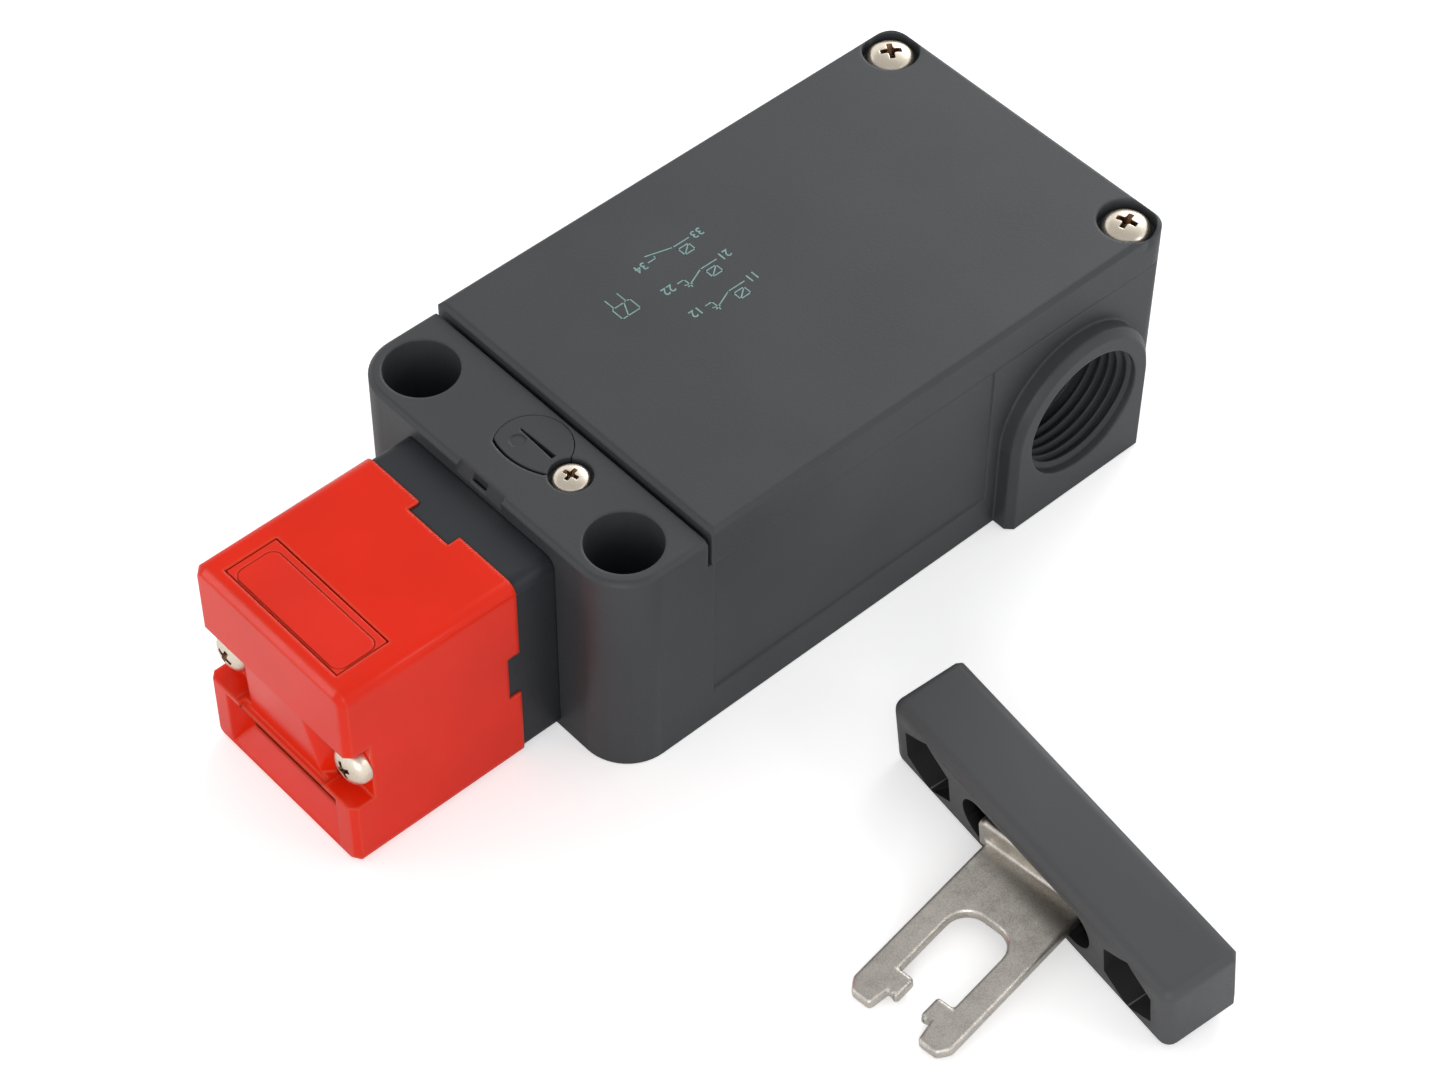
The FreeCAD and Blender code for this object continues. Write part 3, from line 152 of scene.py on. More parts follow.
class InterlockSizes(bpy.types.PropertyGroup):
    """The sizes of edges, key block, screws, threads and print"""
    edge_radius: length("Moulded edge", "Radius that softens the moulded edges", 0.55)
    enamel_radius: length("Enamelled edge", "Radius that softens the head's edges", 0.7)
    steel_radius: length("Tumbled edge", "Radius that softens the tongue's edges", 0.6)
    corner_round: length("Corner rounding", "Width of the rounding along moulded edges", 0.35)
    steel_round: length("Tongue rounding", "Width of the rounding along stamped edges", 0.55)
    key_length: length("Key length", "Length of the key's block", 56.0)
    key_depth: length("Key depth", "Depth of the key's block", 11.4)
    key_height: length("Key height", "Height of the key's block", 13.0)
    key_round: length("Key rounding", "Radius of the key block's edges and ends", 1.75)
    key_heading: angle("Key heading", "Turn of the key's block about the upright", 172.7)
    key_dip: angle("Key dip", "Lean of the key's block onto its tongue", 6.7)
    plug_sunk: length("Plug sunk", "How far the plug's face lies below the head's top", 0.04)
    plug_frame: length("Plug frame", "How far the plug's frame lies below the head's top", 0.06)
    plug_corner: length("Plug corner", "Radius of the plug's corners", 1.4)
    plug_groove: length("Plug groove", "Width of the groove between plug and frame", 0.15)
    thread_root: length("Entry thread root", "Radius to the root of the entry thread", 10.02)
    thread_crest: length("Entry thread crest", "Radius to the crest of the entry thread", 9.2)
    thread_pitch: length("Entry thread pitch", "Pitch of the entry thread", 1.5)
    thread_start: length("Entry thread lead-in", "Plain length before the first turn", 0.3)
    entry_depth: length("Entry depth", "Depth from the boss face to the knock-out", 9.6)
    ring_height: length("Knock-out relief", "Height of the ring on the knock-out", 0.35)
    line_width: length("Print line", "Width of the printed lines", 0.18)
    print_height: length("Print height", "Thickness of the ink above the cover", 0.003)
    digit_height: length("Digits", "Height of the terminal numbers", 1.95)
    cover_head: length("Cover screw head", "Height of the cover screws' domed heads", 2.5)
    head_head: length("Head screw head", "Height of the head screws' domed heads", 2.6)
    release_head: length("Release screw head", "Height of the release screw's domed head", 1.5)
    ring_steps: IntProperty(
        name="Round steps", description="Steps round a turned piece", default=64, min=16)


def settings():
    """The colours and the sizes set in the scene."""
    return bpy.context.scene.interlock_colours, bpy.context.scene.interlock_sizes


# ---- node trees

# Sockets of the mix node when it mixes colours
MIX_FACTOR, MIX_FIRST, MIX_SECOND, MIX_RESULT = 0, 6, 7, 2
# Limits between which most values of a noise lie
BROAD_NOISE = 0.35, 0.65
FINE_NOISE = 0.3, 0.7
# Cosine of the angle between true and rounded normal where the edge mask starts and is full
EDGE_LIMITS = 0.995, 0.80
VALUE, VECTOR = "NodeSocketFloat", "NodeSocketVector"


class Graph:
    """Adds and joins nodes in one node tree."""

    def __init__(self, tree):
        self.tree = tree

    def add(self, kind, inputs=None, **settings):
        node = self.tree.nodes.new(kind)
        for name, value in settings.items():
            setattr(node, name, value)
        for name, value in (inputs or {}).items():
            self.feed(node.inputs[name], value)
        return node

    def feed(self, socket, value):
        """Links a socket to another node's output, or sets its value."""
        if isinstance(value, bpy.types.NodeSocket):
            self.tree.links.new(value, socket)
        else:
            socket.default_value = value

    def math(self, operation, a, b):
        return self.add("ShaderNodeMath", {0: a, 1: b}, operation=operation).outputs[0]

    def blend(self, a, a_part, b, b_part):
        """The sum of two values, each times its part."""
        return self.math("ADD", self.math("MULTIPLY", a, a_part),
                         self.math("MULTIPLY", b, b_part))

    def spread(self, value, low, high, to_low=0.0, to_high=1.0):
        """Stretches the values between two limits to two others."""
        return self.add("ShaderNodeMapRange", {
            "Value": value, "From Min": low, "From Max": high,
            "To Min": to_low, "To Max": to_high}).outputs["Result"]

    def mix(self, factor, a, b):
        node = self.add("ShaderNodeMix", data_type="RGBA")
        self.feed(node.inputs[MIX_FACTOR], factor)
        self.feed(node.inputs[MIX_FIRST], a)
        self.feed(node.inputs[MIX_SECOND], b)
        return node.outputs[MIX_RESULT]

    def noise(self, where, scale, detail=2.0, roughness=0.5):
        return self.add("ShaderNodeTexNoise", {
            "Vector": where, "Scale": scale, "Detail": detail,
            "Roughness": roughness}).outputs["Fac"]

    def object_space(self):
        return self.add("ShaderNodeTexCoord").outputs["Object"]

    def effect(self, name, **values):
        """Places a shared effect with its own values and gives its outputs."""
        return self.add("ShaderNodeGroup", values, node_tree=effect_group(name)).outputs


def fill_soft_edge(g, given):
    """Rounded normal near every edge, and a mask that is strongest on the edge itself."""
    rounded = g.add("ShaderNodeBevel", {"Radius": given["Radius"]}, samples=6).outputs["Normal"]
    true = g.add("ShaderNodeNewGeometry").outputs["Normal"]
    along = g.add("ShaderNodeVectorMath", {0: rounded, 1: true},
                  operation="DOT_PRODUCT").outputs["Value"]
    return {"Normal": rounded, "Edge": g.spread(along, *EDGE_LIMITS)}


def fill_grain(g, given):
    """Spark-eroded grain of a moulding: fine cells with a little drift in tone."""
    where = g.object_space()
    cells = g.add("ShaderNodeTexVoronoi", {"Vector": where, "Scale": given["Scale"]},
                  feature="SMOOTH_F1").outputs["Distance"]
    fine = g.noise(where, g.math("MULTIPLY", given["Scale"], 1.9), 3.0, 0.6)
    drift = g.noise(where, g.math("MULTIPLY", given["Scale"], 0.02))
    return {"Height": g.blend(cells, 0.6, fine, 0.5), "Speck": fine, "Drift": drift}


def fill_tumbled(g, given):
    """Soft irregular dents and smears left on metal by tumbling."""
    where = g.object_space()
    broad = g.noise(where, given["Scale"], 3.0, 0.6)
    fine = g.noise(where, g.math("MULTIPLY", given["Scale"], 12.0), 3.0, 0.7)
    return {"Height": g.blend(broad, 0.5, fine, 0.5), "Tone": g.blend(broad, 0.35, fine, 0.65)}


# Each shared effect: what fills it, its input with a default, and its outputs
EFFECTS = {
    "Soft edge": (fill_soft_edge, ("Radius", 0.0005), {"Normal": VECTOR, "Edge": VALUE}),
    "Moulded grain": (fill_grain, ("Scale", 2500.0),
                      {"Height": VALUE, "Speck": VALUE, "Drift": VALUE}),
    "Tumbled metal": (fill_tumbled, ("Scale", 300.0), {"Height": VALUE, "Tone": VALUE}),
}


def effect_group(name):
    """The named effect's shader node group, built when it is first asked for."""
    tree = bpy.data.node_groups.get(name)
    if tree:
        return tree
    fill, (label, default), outputs = EFFECTS[name]
    tree = bpy.data.node_groups.new(name, "ShaderNodeTree")
    tree.interface.new_socket(label, in_out="INPUT", socket_type=VALUE).default_value = default
    for output, kind in outputs.items():
        tree.interface.new_socket(output, in_out="OUTPUT", socket_type=kind)
    graph = Graph(tree)
    entering, leaving = graph.add("NodeGroupInput"), graph.add("NodeGroupOutput")
    for output, value in fill(graph, entering.outputs).items():
        graph.feed(leaving.inputs[output], value)
    return tree


# ---- materials

BRIGHTEST = 0.95  # no painted edge highlight is brighter than this
WHITE = (1.0, 1.0, 1.0, 1.0)
# Depths of relief in the finishes
GRAIN_DEPTH, RIPPLE_DEPTH, DENT_DEPTH, TURN_DEPTH = 0.04 * MM, 0.03 * MM, 0.05 * MM, 0.1 * MM


def shade(rgb, factor):
    return tuple(min(1.0, channel * factor) for channel in rgb[:3]) + (1.0,)


def blank(name):
    """A new material, with the graph of its node tree and its shader."""
    material = bpy.data.materials.new(name)
    material.use_nodes = True
    material.node_tree.nodes.clear()
    g = Graph(material.node_tree)
    shader = g.add("ShaderNodeBsdfPrincipled")
    g.surface = g.add("ShaderNodeOutputMaterial", {"Surface": shader.outputs[0]}).inputs["Surface"]
    return material, g, shader


def made(name, recipe, *values, **options):
    """The named material, made by its recipe when it is first asked for."""
    return bpy.data.materials.get(name) or recipe(name, *values, **options)


def dress(g, shader, tone, roughness, strength, depth, height, **normal):
    """Feeds the shader its colour and roughness, and its normal through a bump."""
    bump = g.add("ShaderNodeBump", {
        "Strength": strength, "Distance": depth, "Height": height, **normal})
    g.feed(shader.inputs["Base Color"], tone)
    g.feed(shader.inputs["Roughness"], roughness)
    g.feed(shader.inputs["Normal"], bump.outputs[0])


def moulded(name, rgb, radius, scale=2600.0, grain=0.35, roughness=0.45, edge=0.5, specular=0.35):
    """Grained moulding whose edges are rubbed a little lighter."""
    material, g, shader = blank(name)
    cells = g.effect("Moulded grain", Scale=scale)
    soft = g.effect("Soft edge", Radius=radius)
    tone = g.mix(g.spread(cells["Drift"], *BROAD_NOISE), shade(rgb, 0.94), shade(rgb, 1.06))
    tone = g.mix(g.spread(cells["Speck"], 0.62, 0.8, 0.0, 0.5), tone, shade(rgb, 1.45))
    tone = g.mix(g.math("MULTIPLY", soft["Edge"], edge), tone, shade(rgb, 1.9))
    dress(g, shader, tone,
          g.spread(cells["Speck"], *FINE_NOISE, roughness - 0.05, roughness + 0.07),
          grain, GRAIN_DEPTH, cells["Height"], Normal=soft["Normal"])
    shader.inputs["Specular IOR Level"].default_value = specular
    return material


def enamelled(name, rgb, radius, roughness=0.22):
    """Smooth red finish with a faint ripple, and edges painted paler and pinker as a highlight."""
    material, g, shader = blank(name)
    soft = g.effect("Soft edge", Radius=radius)
    where = g.object_space()
    drift = g.noise(where, 60.0)
    fine = g.noise(where, 900.0, 1.0)
    # Paler, pinker red along the edges: a painted highlight.
    painted_red_highlight = (min(BRIGHTEST, rgb[0] * 1.25), rgb[1] * 3.0 + 0.05, rgb[2] * 3.0 + 0.035, 1.0)
    tone = g.mix(g.spread(drift, *BROAD_NOISE), shade(rgb, 0.96), shade(rgb, 1.04))
    tone = g.mix(g.math("MULTIPLY", soft["Edge"], 0.7), tone, painted_red_highlight)
    dress(g, shader, tone, g.spread(fine, *FINE_NOISE, roughness - 0.02, roughness + 0.02),
          0.05, RIPPLE_DEPTH, fine, Normal=soft["Normal"])
    shader.inputs["Coat Weight"].default_value = 0.05
    shader.inputs["Coat Roughness"].default_value = 0.12
    shader.inputs["Specular IOR Level"].default_value = 0.18
    return material


def metal(name, rgb, radius=0.2 * MM, scale=300.0, roughness=0.3, dents=0.15, contrast=0.25,
          edge=0.5):
    """Metal with tumbled tone, and edges painted brighter as a highlight."""
    material, g, shader = blank(name)
    tumbled = g.effect("Tumbled metal", Scale=scale)
    soft = g.effect("Soft edge", Radius=radius)
    # Paler metal along the edges: a painted highlight.
    painted_edge_highlight = tuple(min(BRIGHTEST, 0.4 + 0.85 * part) for part in rgb[:3]) + (1.0,)
    tone = g.mix(g.spread(tumbled["Tone"], *BROAD_NOISE),
                 shade(rgb, 1.0 - contrast), shade(rgb, 1.0 + contrast))
    tone = g.mix(g.math("MULTIPLY", soft["Edge"], edge), tone, painted_edge_highlight)
    dress(g, shader, tone,
          g.spread(tumbled["Tone"], *BROAD_NOISE, roughness + 0.08, max(0.05, roughness - 0.08)),
          dents, DENT_DEPTH, tumbled["Height"], Normal=soft["Normal"])
    shader.inputs["Metallic"].default_value = 1.0
    return material


def winding(name, rgb, pitch):
    """Enamelled copper wire laid turn beside turn."""
    material, g, shader = blank(name)
    turns = g.add("ShaderNodeTexWave", {
        "Vector": g.object_space(), "Scale": 0.32 / pitch, "Distortion": 0.4,
        "Detail": 1.0, "Detail Scale": 40.0}, bands_direction="X").outputs["Fac"]
    # Dark between the turns and pale on their crests: painted shade and highlight.
    dress(g, shader, g.mix(turns, shade(rgb, 0.45), shade(rgb, 1.2)),
          g.spread(turns, 0.0, 1.0, 0.5, 0.25), 0.8, TURN_DEPTH, turns)
    shader.inputs["Metallic"].default_value = 0.8
    return material


def inked(name, rgb):
    """Matt pad-printed ink, slightly thin in places."""
    material, g, shader = blank(name)
    thin = g.noise(g.object_space(), 2200.0)
    g.feed(shader.inputs["Base Color"],
           g.mix(g.spread(thin, *FINE_NOISE), shade(rgb, 0.78), shade(rgb, 1.1)))
    shader.inputs["Roughness"].default_value = 0.6
    shader.inputs["Specular IOR Level"].default_value = 0.3
    return material


def pin_steel():
    return made("Pin steel", metal, (0.6, 0.59, 0.57), scale=800.0)


def finish_node(node, material):
    """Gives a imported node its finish."""
    slots = NODES[node].data.materials
    slots.clear()
    slots.append(material)


# ---- rounding and mesh pieces

MERGE_DISTANCE = 0.002 * MM  # points closer than this are one point
FLAT_ANGLE = 0.4  # degrees; faces that meet at less are one flat face
SHARP_ANGLE = 28.0  # degrees; edges that are sharper get rounded
ROUND_SEGMENTS = 3


def soften(node, width, clamp=True):
    """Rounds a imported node's sharp edges with modifiers; its own mesh stays as it is."""
    modifiers = NODES[node].modifiers
    modifiers.new("join", "WELD").merge_threshold = MERGE_DISTANCE
    flat = modifiers.new("flat", "DECIMATE")
    flat.decimate_type = "DISSOLVE"
    flat.angle_limit = math.radians(FLAT_ANGLE)
    round_off = modifiers.new("round", "BEVEL")
    round_off.width = width
    round_off.segments = ROUND_SEGMENTS
    round_off.limit_method = "ANGLE"
    round_off.angle_limit = math.radians(SHARP_ANGLE)
    round_off.use_clamp_overlap = clamp
    round_off.harden_normals = True


def link_object(name, data):
    obj = bpy.data.objects.new(name, data)
    bpy.context.scene.collection.objects.link(obj)
    return obj


def mesh_object(name, work, *materials, smooth=None):
    """A mesh object from a bmesh; edges of up to so many degrees are shaded smooth."""
    mesh = bpy.data.meshes.new(name)
    bmesh.ops.recalc_face_normals(work, faces=work.faces)
    work.to_mesh(mesh)
    work.free()
    if smooth is not None:
        mesh.shade_smooth()
        mesh.set_sharp_from_angle(angle=math.radians(smooth))
    for material in materials:
        mesh.materials.append(material)
    return link_object(name, mesh)


def settled_mesh(obj):
    """A copy of an object's mesh as its modifiers leave it."""
    graph = bpy.context.evaluated_depsgraph_get()
    return bpy.data.meshes.new_from_object(obj.evaluated_get(graph))


def facing(axis):
    """Turns +Z to an axis."""
    return Vector(axis).to_track_quat("Z", "Y").to_matrix().to_4x4()


def join_rings(work, low, high):
    """Faces between two closed rings, or triangles where a ring has shrunk to a point."""
    for i in range(len(low)):
        j = (i + 1) % len(low)
        corners = list(dict.fromkeys((low[i], low[j], high[j], high[i])))
        if len(corners) > 2:
            work.faces.new(corners)


def round_point(radius, turn, height):
    return radius * math.cos(turn), radius * math.sin(turn), height


def turned_rings(work, profile, steps):
    """Sweeps a (radius, height) profile about Z; a radius of 0 closes to a point."""
    turns = [2.0 * math.pi * i / steps for i in range(steps)]
    rings = []
    for radius, height in profile:
        if radius <= 0.0:
            rings.append([work.verts.new((0.0, 0.0, height))] * steps)
        else:
            rings.append([work.verts.new(round_point(radius, turn, height)) for turn in turns])
    for low, high in zip(rings, rings[1:]):
        join_rings(work, low, high)


# Half width of a thread's ridge at its root and tip, as shares of its pitch
RIDGE_ROOT, RIDGE_TIP = 0.42, 0.09
THREAD_FADE = 0.4  # share of a turn in which the ridge grows to its height
THREAD_LEAST = 0.02  # share of its height that the ridge has at its ends


def add_helix(work, root, crest, pitch, turns, steps, base):
    """A screw thread's ridge from base along +Z, fading into the root at both ends."""
    count = int(turns * steps)
    fade = steps * THREAD_FADE
    loops = []
    for i in range(count + 1):
        turn = 2.0 * math.pi * i / steps
        grown = min(1.0, i / fade, (count - i) / fade)
        tip = root + (crest - root) * max(grown, THREAD_LEAST)
        middle = base + pitch * i / steps
        section = [(root, -RIDGE_ROOT), (tip, -RIDGE_TIP), (tip, RIDGE_TIP), (root, RIDGE_ROOT)]
        loops.append([work.verts.new(round_point(r, turn, middle + part * pitch))
                      for r, part in section])
    for before, after in zip(loops, loops[1:]):
        join_rings(work, before, after)
    work.faces.new(loops[0])
    work.faces.new(loops[-1])


# ---- screws

# Shares of a screw head's height
DOME_START, RIM_START, RECESS_TOP, RECESS_DEPTH = 0.30, 0.05, 1.05, 0.55
# Shares of its radius: under the rim, and the cross recess at its top and floor
UNDER_RIM = 0.97
WING_TOP, WING_FLOOR = (0.50, 0.125), (0.20, 0.08)
PIT_TOP, PIT_FLOOR = 0.22, 0.09
# Shares of the recess's depth down to the end of the pit's side and to its tip
PIT_SIDE, PIT_TIP = 1.15, 1.25
# Powers that make the dome fuller than a ball's, outwards and upwards
DOME_OUT, DOME_UP = 0.82, 0.9
# Shares of a shank's radius
SHANK_TIP, SHANK_CORE, TIP_TAPER = 0.55, 0.82, 0.4
THREAD_ROOT, THREAD_BASE, THREAD_SHORT = 0.80, 0.5, 0.9
SHANK_NECK = 0.3 * MM  # length over which the shank widens under the head
SCREW_THREAD_STEPS, PIT_STEPS = 32, 24


def screw_profile(radius, height, shank, shank_length):
    """Outline of a domed screw from the tip of its shank; its head sits on height 0."""
    start = DOME_START * height
    dome = [(radius * math.cos(a) ** DOME_OUT, start + (height - start) * math.sin(a) ** DOME_UP)
            for a in (math.radians(degrees) for degrees in range(1, 90, 8))]
    core = shank * SHANK_CORE
    return [(0.0, -shank_length), (shank * SHANK_TIP, -shank_length),
            (core, -shank_length + shank * TIP_TAPER), (core, -SHANK_NECK), (shank, 0.0),
            (radius * UNDER_RIM, 0.0), (radius, RIM_START * height), *dome, (0.0, height)]


def cross_cutter(radius, top, depth, material):
    """Tapered cross that cuts a driven recess into a screw head."""
    work = bmesh.new()
    for quarter in range(2):
        turn = Matrix.Rotation(quarter * math.pi / 2, 4, "Z")
        rings = []
        for (reach, half), height in ((WING_TOP, top), (WING_FLOOR, top - depth)):
            x, y = radius * reach, radius * half
            rings.append([work.verts.new(turn @ Vector((*corner, height)))
                          for corner in ((-x, -y), (x, -y), (x, y), (-x, y))])
        work.faces.new(rings[0])
        work.faces.new(rings[1])
        join_rings(work, *rings)
    turned_rings(work, [(0.0, top), (radius * PIT_TOP, top),
                        (radius * PIT_FLOOR, top - depth * PIT_SIDE),
                        (0.0, top - depth * PIT_TIP)], PIT_STEPS)
    return mesh_object("recess_cutter", work, material)


def cross_screw(name, place, radius, height, shank, shank_length, pitch):
    """Domed screw with a cross recess and a threaded shank; place seats and aims it."""
    tints, sizes = settings()
    steel = made(
        "Bright stainless", metal, tints.screw, radius=0.25 * MM, scale=500.0,
        dents=0.08, contrast=0.12)
    # The cross recess is lined with darker, browner steel.
    dark_brown_recess = made(
        "Driven recess", metal, tints.recess, radius=0.1 * MM, scale=900.0, roughness=0.42,
        dents=0.2, contrast=0.4)
    work = bmesh.new()
    turned_rings(work, screw_profile(radius, height, shank, shank_length), sizes.ring_steps)
    head = mesh_object(name, work, steel)
    cutter = cross_cutter(radius, height * RECESS_TOP, height * RECESS_DEPTH, dark_brown_recess)
    cut = head.modifiers.new("recess", "BOOLEAN")
    cut.operation, cut.object, cut.solver = "DIFFERENCE", cutter, "EXACT"
    cut.use_self = True
    cut.material_mode = "TRANSFER"
    mesh = settled_mesh(head)
    bpy.data.objects.remove(cutter)
    bpy.data.objects.remove(head)
    work = bmesh.new()
    work.from_mesh(mesh)
    materials = list(mesh.materials)
    bpy.data.meshes.remove(mesh)
    add_helix(work, shank * THREAD_ROOT, shank, pitch,
              (shank_length - shank * THREAD_SHORT) / pitch, SCREW_THREAD_STEPS,
              -shank_length + shank * THREAD_BASE)
    bmesh.ops.transform(work, matrix=place, verts=work.verts)
    return mesh_object(name, work, *materials, smooth=32)


# ---- pieces

# Each lamp: name, place from the middle and width in metres, and the setting for its power
LAMPS = (
    ("overhead", (1.00, 0.45, 0.62), 0.8, "key_power"),
    ("near_edge", (0.36, -0.84, 0.60), 0.20, "edge_power"),
    ("left_edge", (-0.86, 0.60, 0.38), 0.20, "edge_power"),
    ("front", (-0.9, -0.8, 0.55), 0.8, "side_power"),
)
TABLE_GAP = 0.05 * MM  # the table lies this far under the switch


class INTERLOCK_OT_stage(bpy.types.Operator):
    """Sets up the pale table, the soft light and the camera"""
    bl_idname = "interlock.stage"
    bl_label = "Stage"

    def execute(self, context):
        stage = context.scene.interlock_stage
        self.place_camera(context, stage)
        self.light_world(context, stage)
        self.lay_table(stage)
        self.hang_card(stage)
        for name, place, size, setting in LAMPS:
            self.hang_lamp(name, Vector(place), size, getattr(stage, setting))
        context.scene.view_settings.view_transform = "Standard"
        return {"FINISHED"}

    def place_camera(self, context, stage):
        data = bpy.data.cameras.new("camera")
        camera = link_object("camera", data)
        az, el = stage.azimuth, stage.elevation
        back = Vector((math.sin(az) * math.cos(el), -math.cos(az) * math.cos(el), math.sin(el)))
        level = Vector((math.cos(az), math.sin(az), 0.0))
        right = level * math.cos(stage.roll) + back.cross(level) * math.sin(stage.roll)
        turn = Matrix((right, back.cross(right), back)).transposed().to_4x4()
        camera.matrix_world = Matrix.Translation(stage.place) @ turn
        data.sensor_width = 36.0
        data.lens = stage.lens
        data.shift_x, data.shift_y = stage.shift_x, stage.shift_y
        data.clip_start, data.clip_end = 0.01, 50.0
        context.scene.camera = camera

    def light_world(self, context, stage):
        """White to the camera and in reflections, a little darker as light."""
        world = bpy.data.worlds.new("studio")
        context.scene.world = world
        world.use_nodes = True
        world.node_tree.nodes.clear()
        g = Graph(world.node_tree)
        path = g.add("ShaderNodeLightPath").outputs
        seen = g.math("MAXIMUM", path["Is Camera Ray"],
                      g.math("MAXIMUM", path["Is Glossy Ray"], path["Is Transmission Ray"]))
        plain = g.add("ShaderNodeBackground", {"Color": WHITE, "Strength": stage.ambient})
        white = g.add("ShaderNodeBackground", {"Color": WHITE, "Strength": 1.0})
        both = g.add("ShaderNodeMixShader", {0: seen, 1: plain.outputs[0], 2: white.outputs[0]})
        g.add("ShaderNodeOutputWorld", {"Surface": both.outputs[0]})

    def flat_grid(self, squares, half, height):
        work = bmesh.new()
        bmesh.ops.create_grid(work, x_segments=squares, y_segments=squares, size=half,
                              matrix=Matrix.Translation((MIDDLE.x, MIDDLE.y, height)))
        return work

    def lay_table(self, stage):
        material, g, shader = blank("Pale table")
        shader.inputs["Base Color"].default_value = (*(stage.floor_tone,) * 3, 1.0)
        shader.inputs["Roughness"].default_value = 0.9
        shader.inputs["Specular IOR Level"].default_value = 0.1
        path = g.add("ShaderNodeLightPath").outputs
        glow = g.add("ShaderNodeEmission", {
            "Strength": g.math("MULTIPLY", path["Is Camera Ray"], stage.floor_lift)})
        total = g.add("ShaderNodeAddShader", {0: shader.outputs[0], 1: glow.outputs[0]})
        g.feed(g.surface, total.outputs[0])
        work = self.flat_grid(8, stage.floor_size / 2, CAD_BOX[0].z - TABLE_GAP)
        mesh_object("table", work, material)

    def hang_card(self, stage):
        """A grey card that only reflections see; it fades to white at its far edge."""
        material, g, shader = blank("Grey card")
        material.node_tree.nodes.remove(shader)
        along = g.add("ShaderNodeSeparateXYZ", {0: g.object_space()}).outputs["X"]
        glow = g.add("ShaderNodeEmission", {
            "Strength": g.spread(along, stage.fade_start, stage.fade_end, stage.ceiling, 1.0)})
        g.feed(g.surface, glow.outputs[0])
        work = self.flat_grid(4, stage.card_half, stage.card_height)
        card = mesh_object("grey_card", work, material)
        for unseen in ("camera", "diffuse", "transmission", "volume_scatter", "shadow"):
            setattr(card, "visible_" + unseen, False)

    def hang_lamp(self, name, place, size, strength):
        data = bpy.data.lights.new(name, "AREA")
        data.shape = "DISK"
        data.size = size
        data.energy = strength
        lamp = link_object(name, data)
        lamp.location = MIDDLE + place
        lamp.rotation_euler = place.to_track_quat("Z", "Y").to_euler()


class INTERLOCK_OT_mouldings(bpy.types.Operator):
    """Finishes the housing, cover, neck, release cap and seal"""
    bl_idname = "interlock.mouldings"
    bl_label = "Mouldings"

    def execute(self, context):
        tints, sizes = settings()
        radius = sizes.edge_radius
        housing = made("Housing moulding", moulded, tints.housing, radius)
        finish_node("housing", housing)
        finish_node("cover", housing)
        # The neck's darker grey is partly painted shade of the gap between head and shoulder.
        finish_node("neck", made(
            "Neck moulding", moulded, tints.neck, radius, grain=0.12, roughness=0.42, edge=0.35))
        finish_node("release_cap", made(
            "Release cap moulding", moulded, tints.cap, radius * 0.5, grain=0.2))
        finish_node("cover_gasket", made(
            "Black seal", moulded, tints.rubber, 0.2 * MM, scale=1200.0, grain=0.15,
            roughness=0.7, edge=0.2, specular=0.25))
        for node in ("housing", "cover", "neck"):
            soften(node, sizes.corner_round)
        return {"FINISHED"}


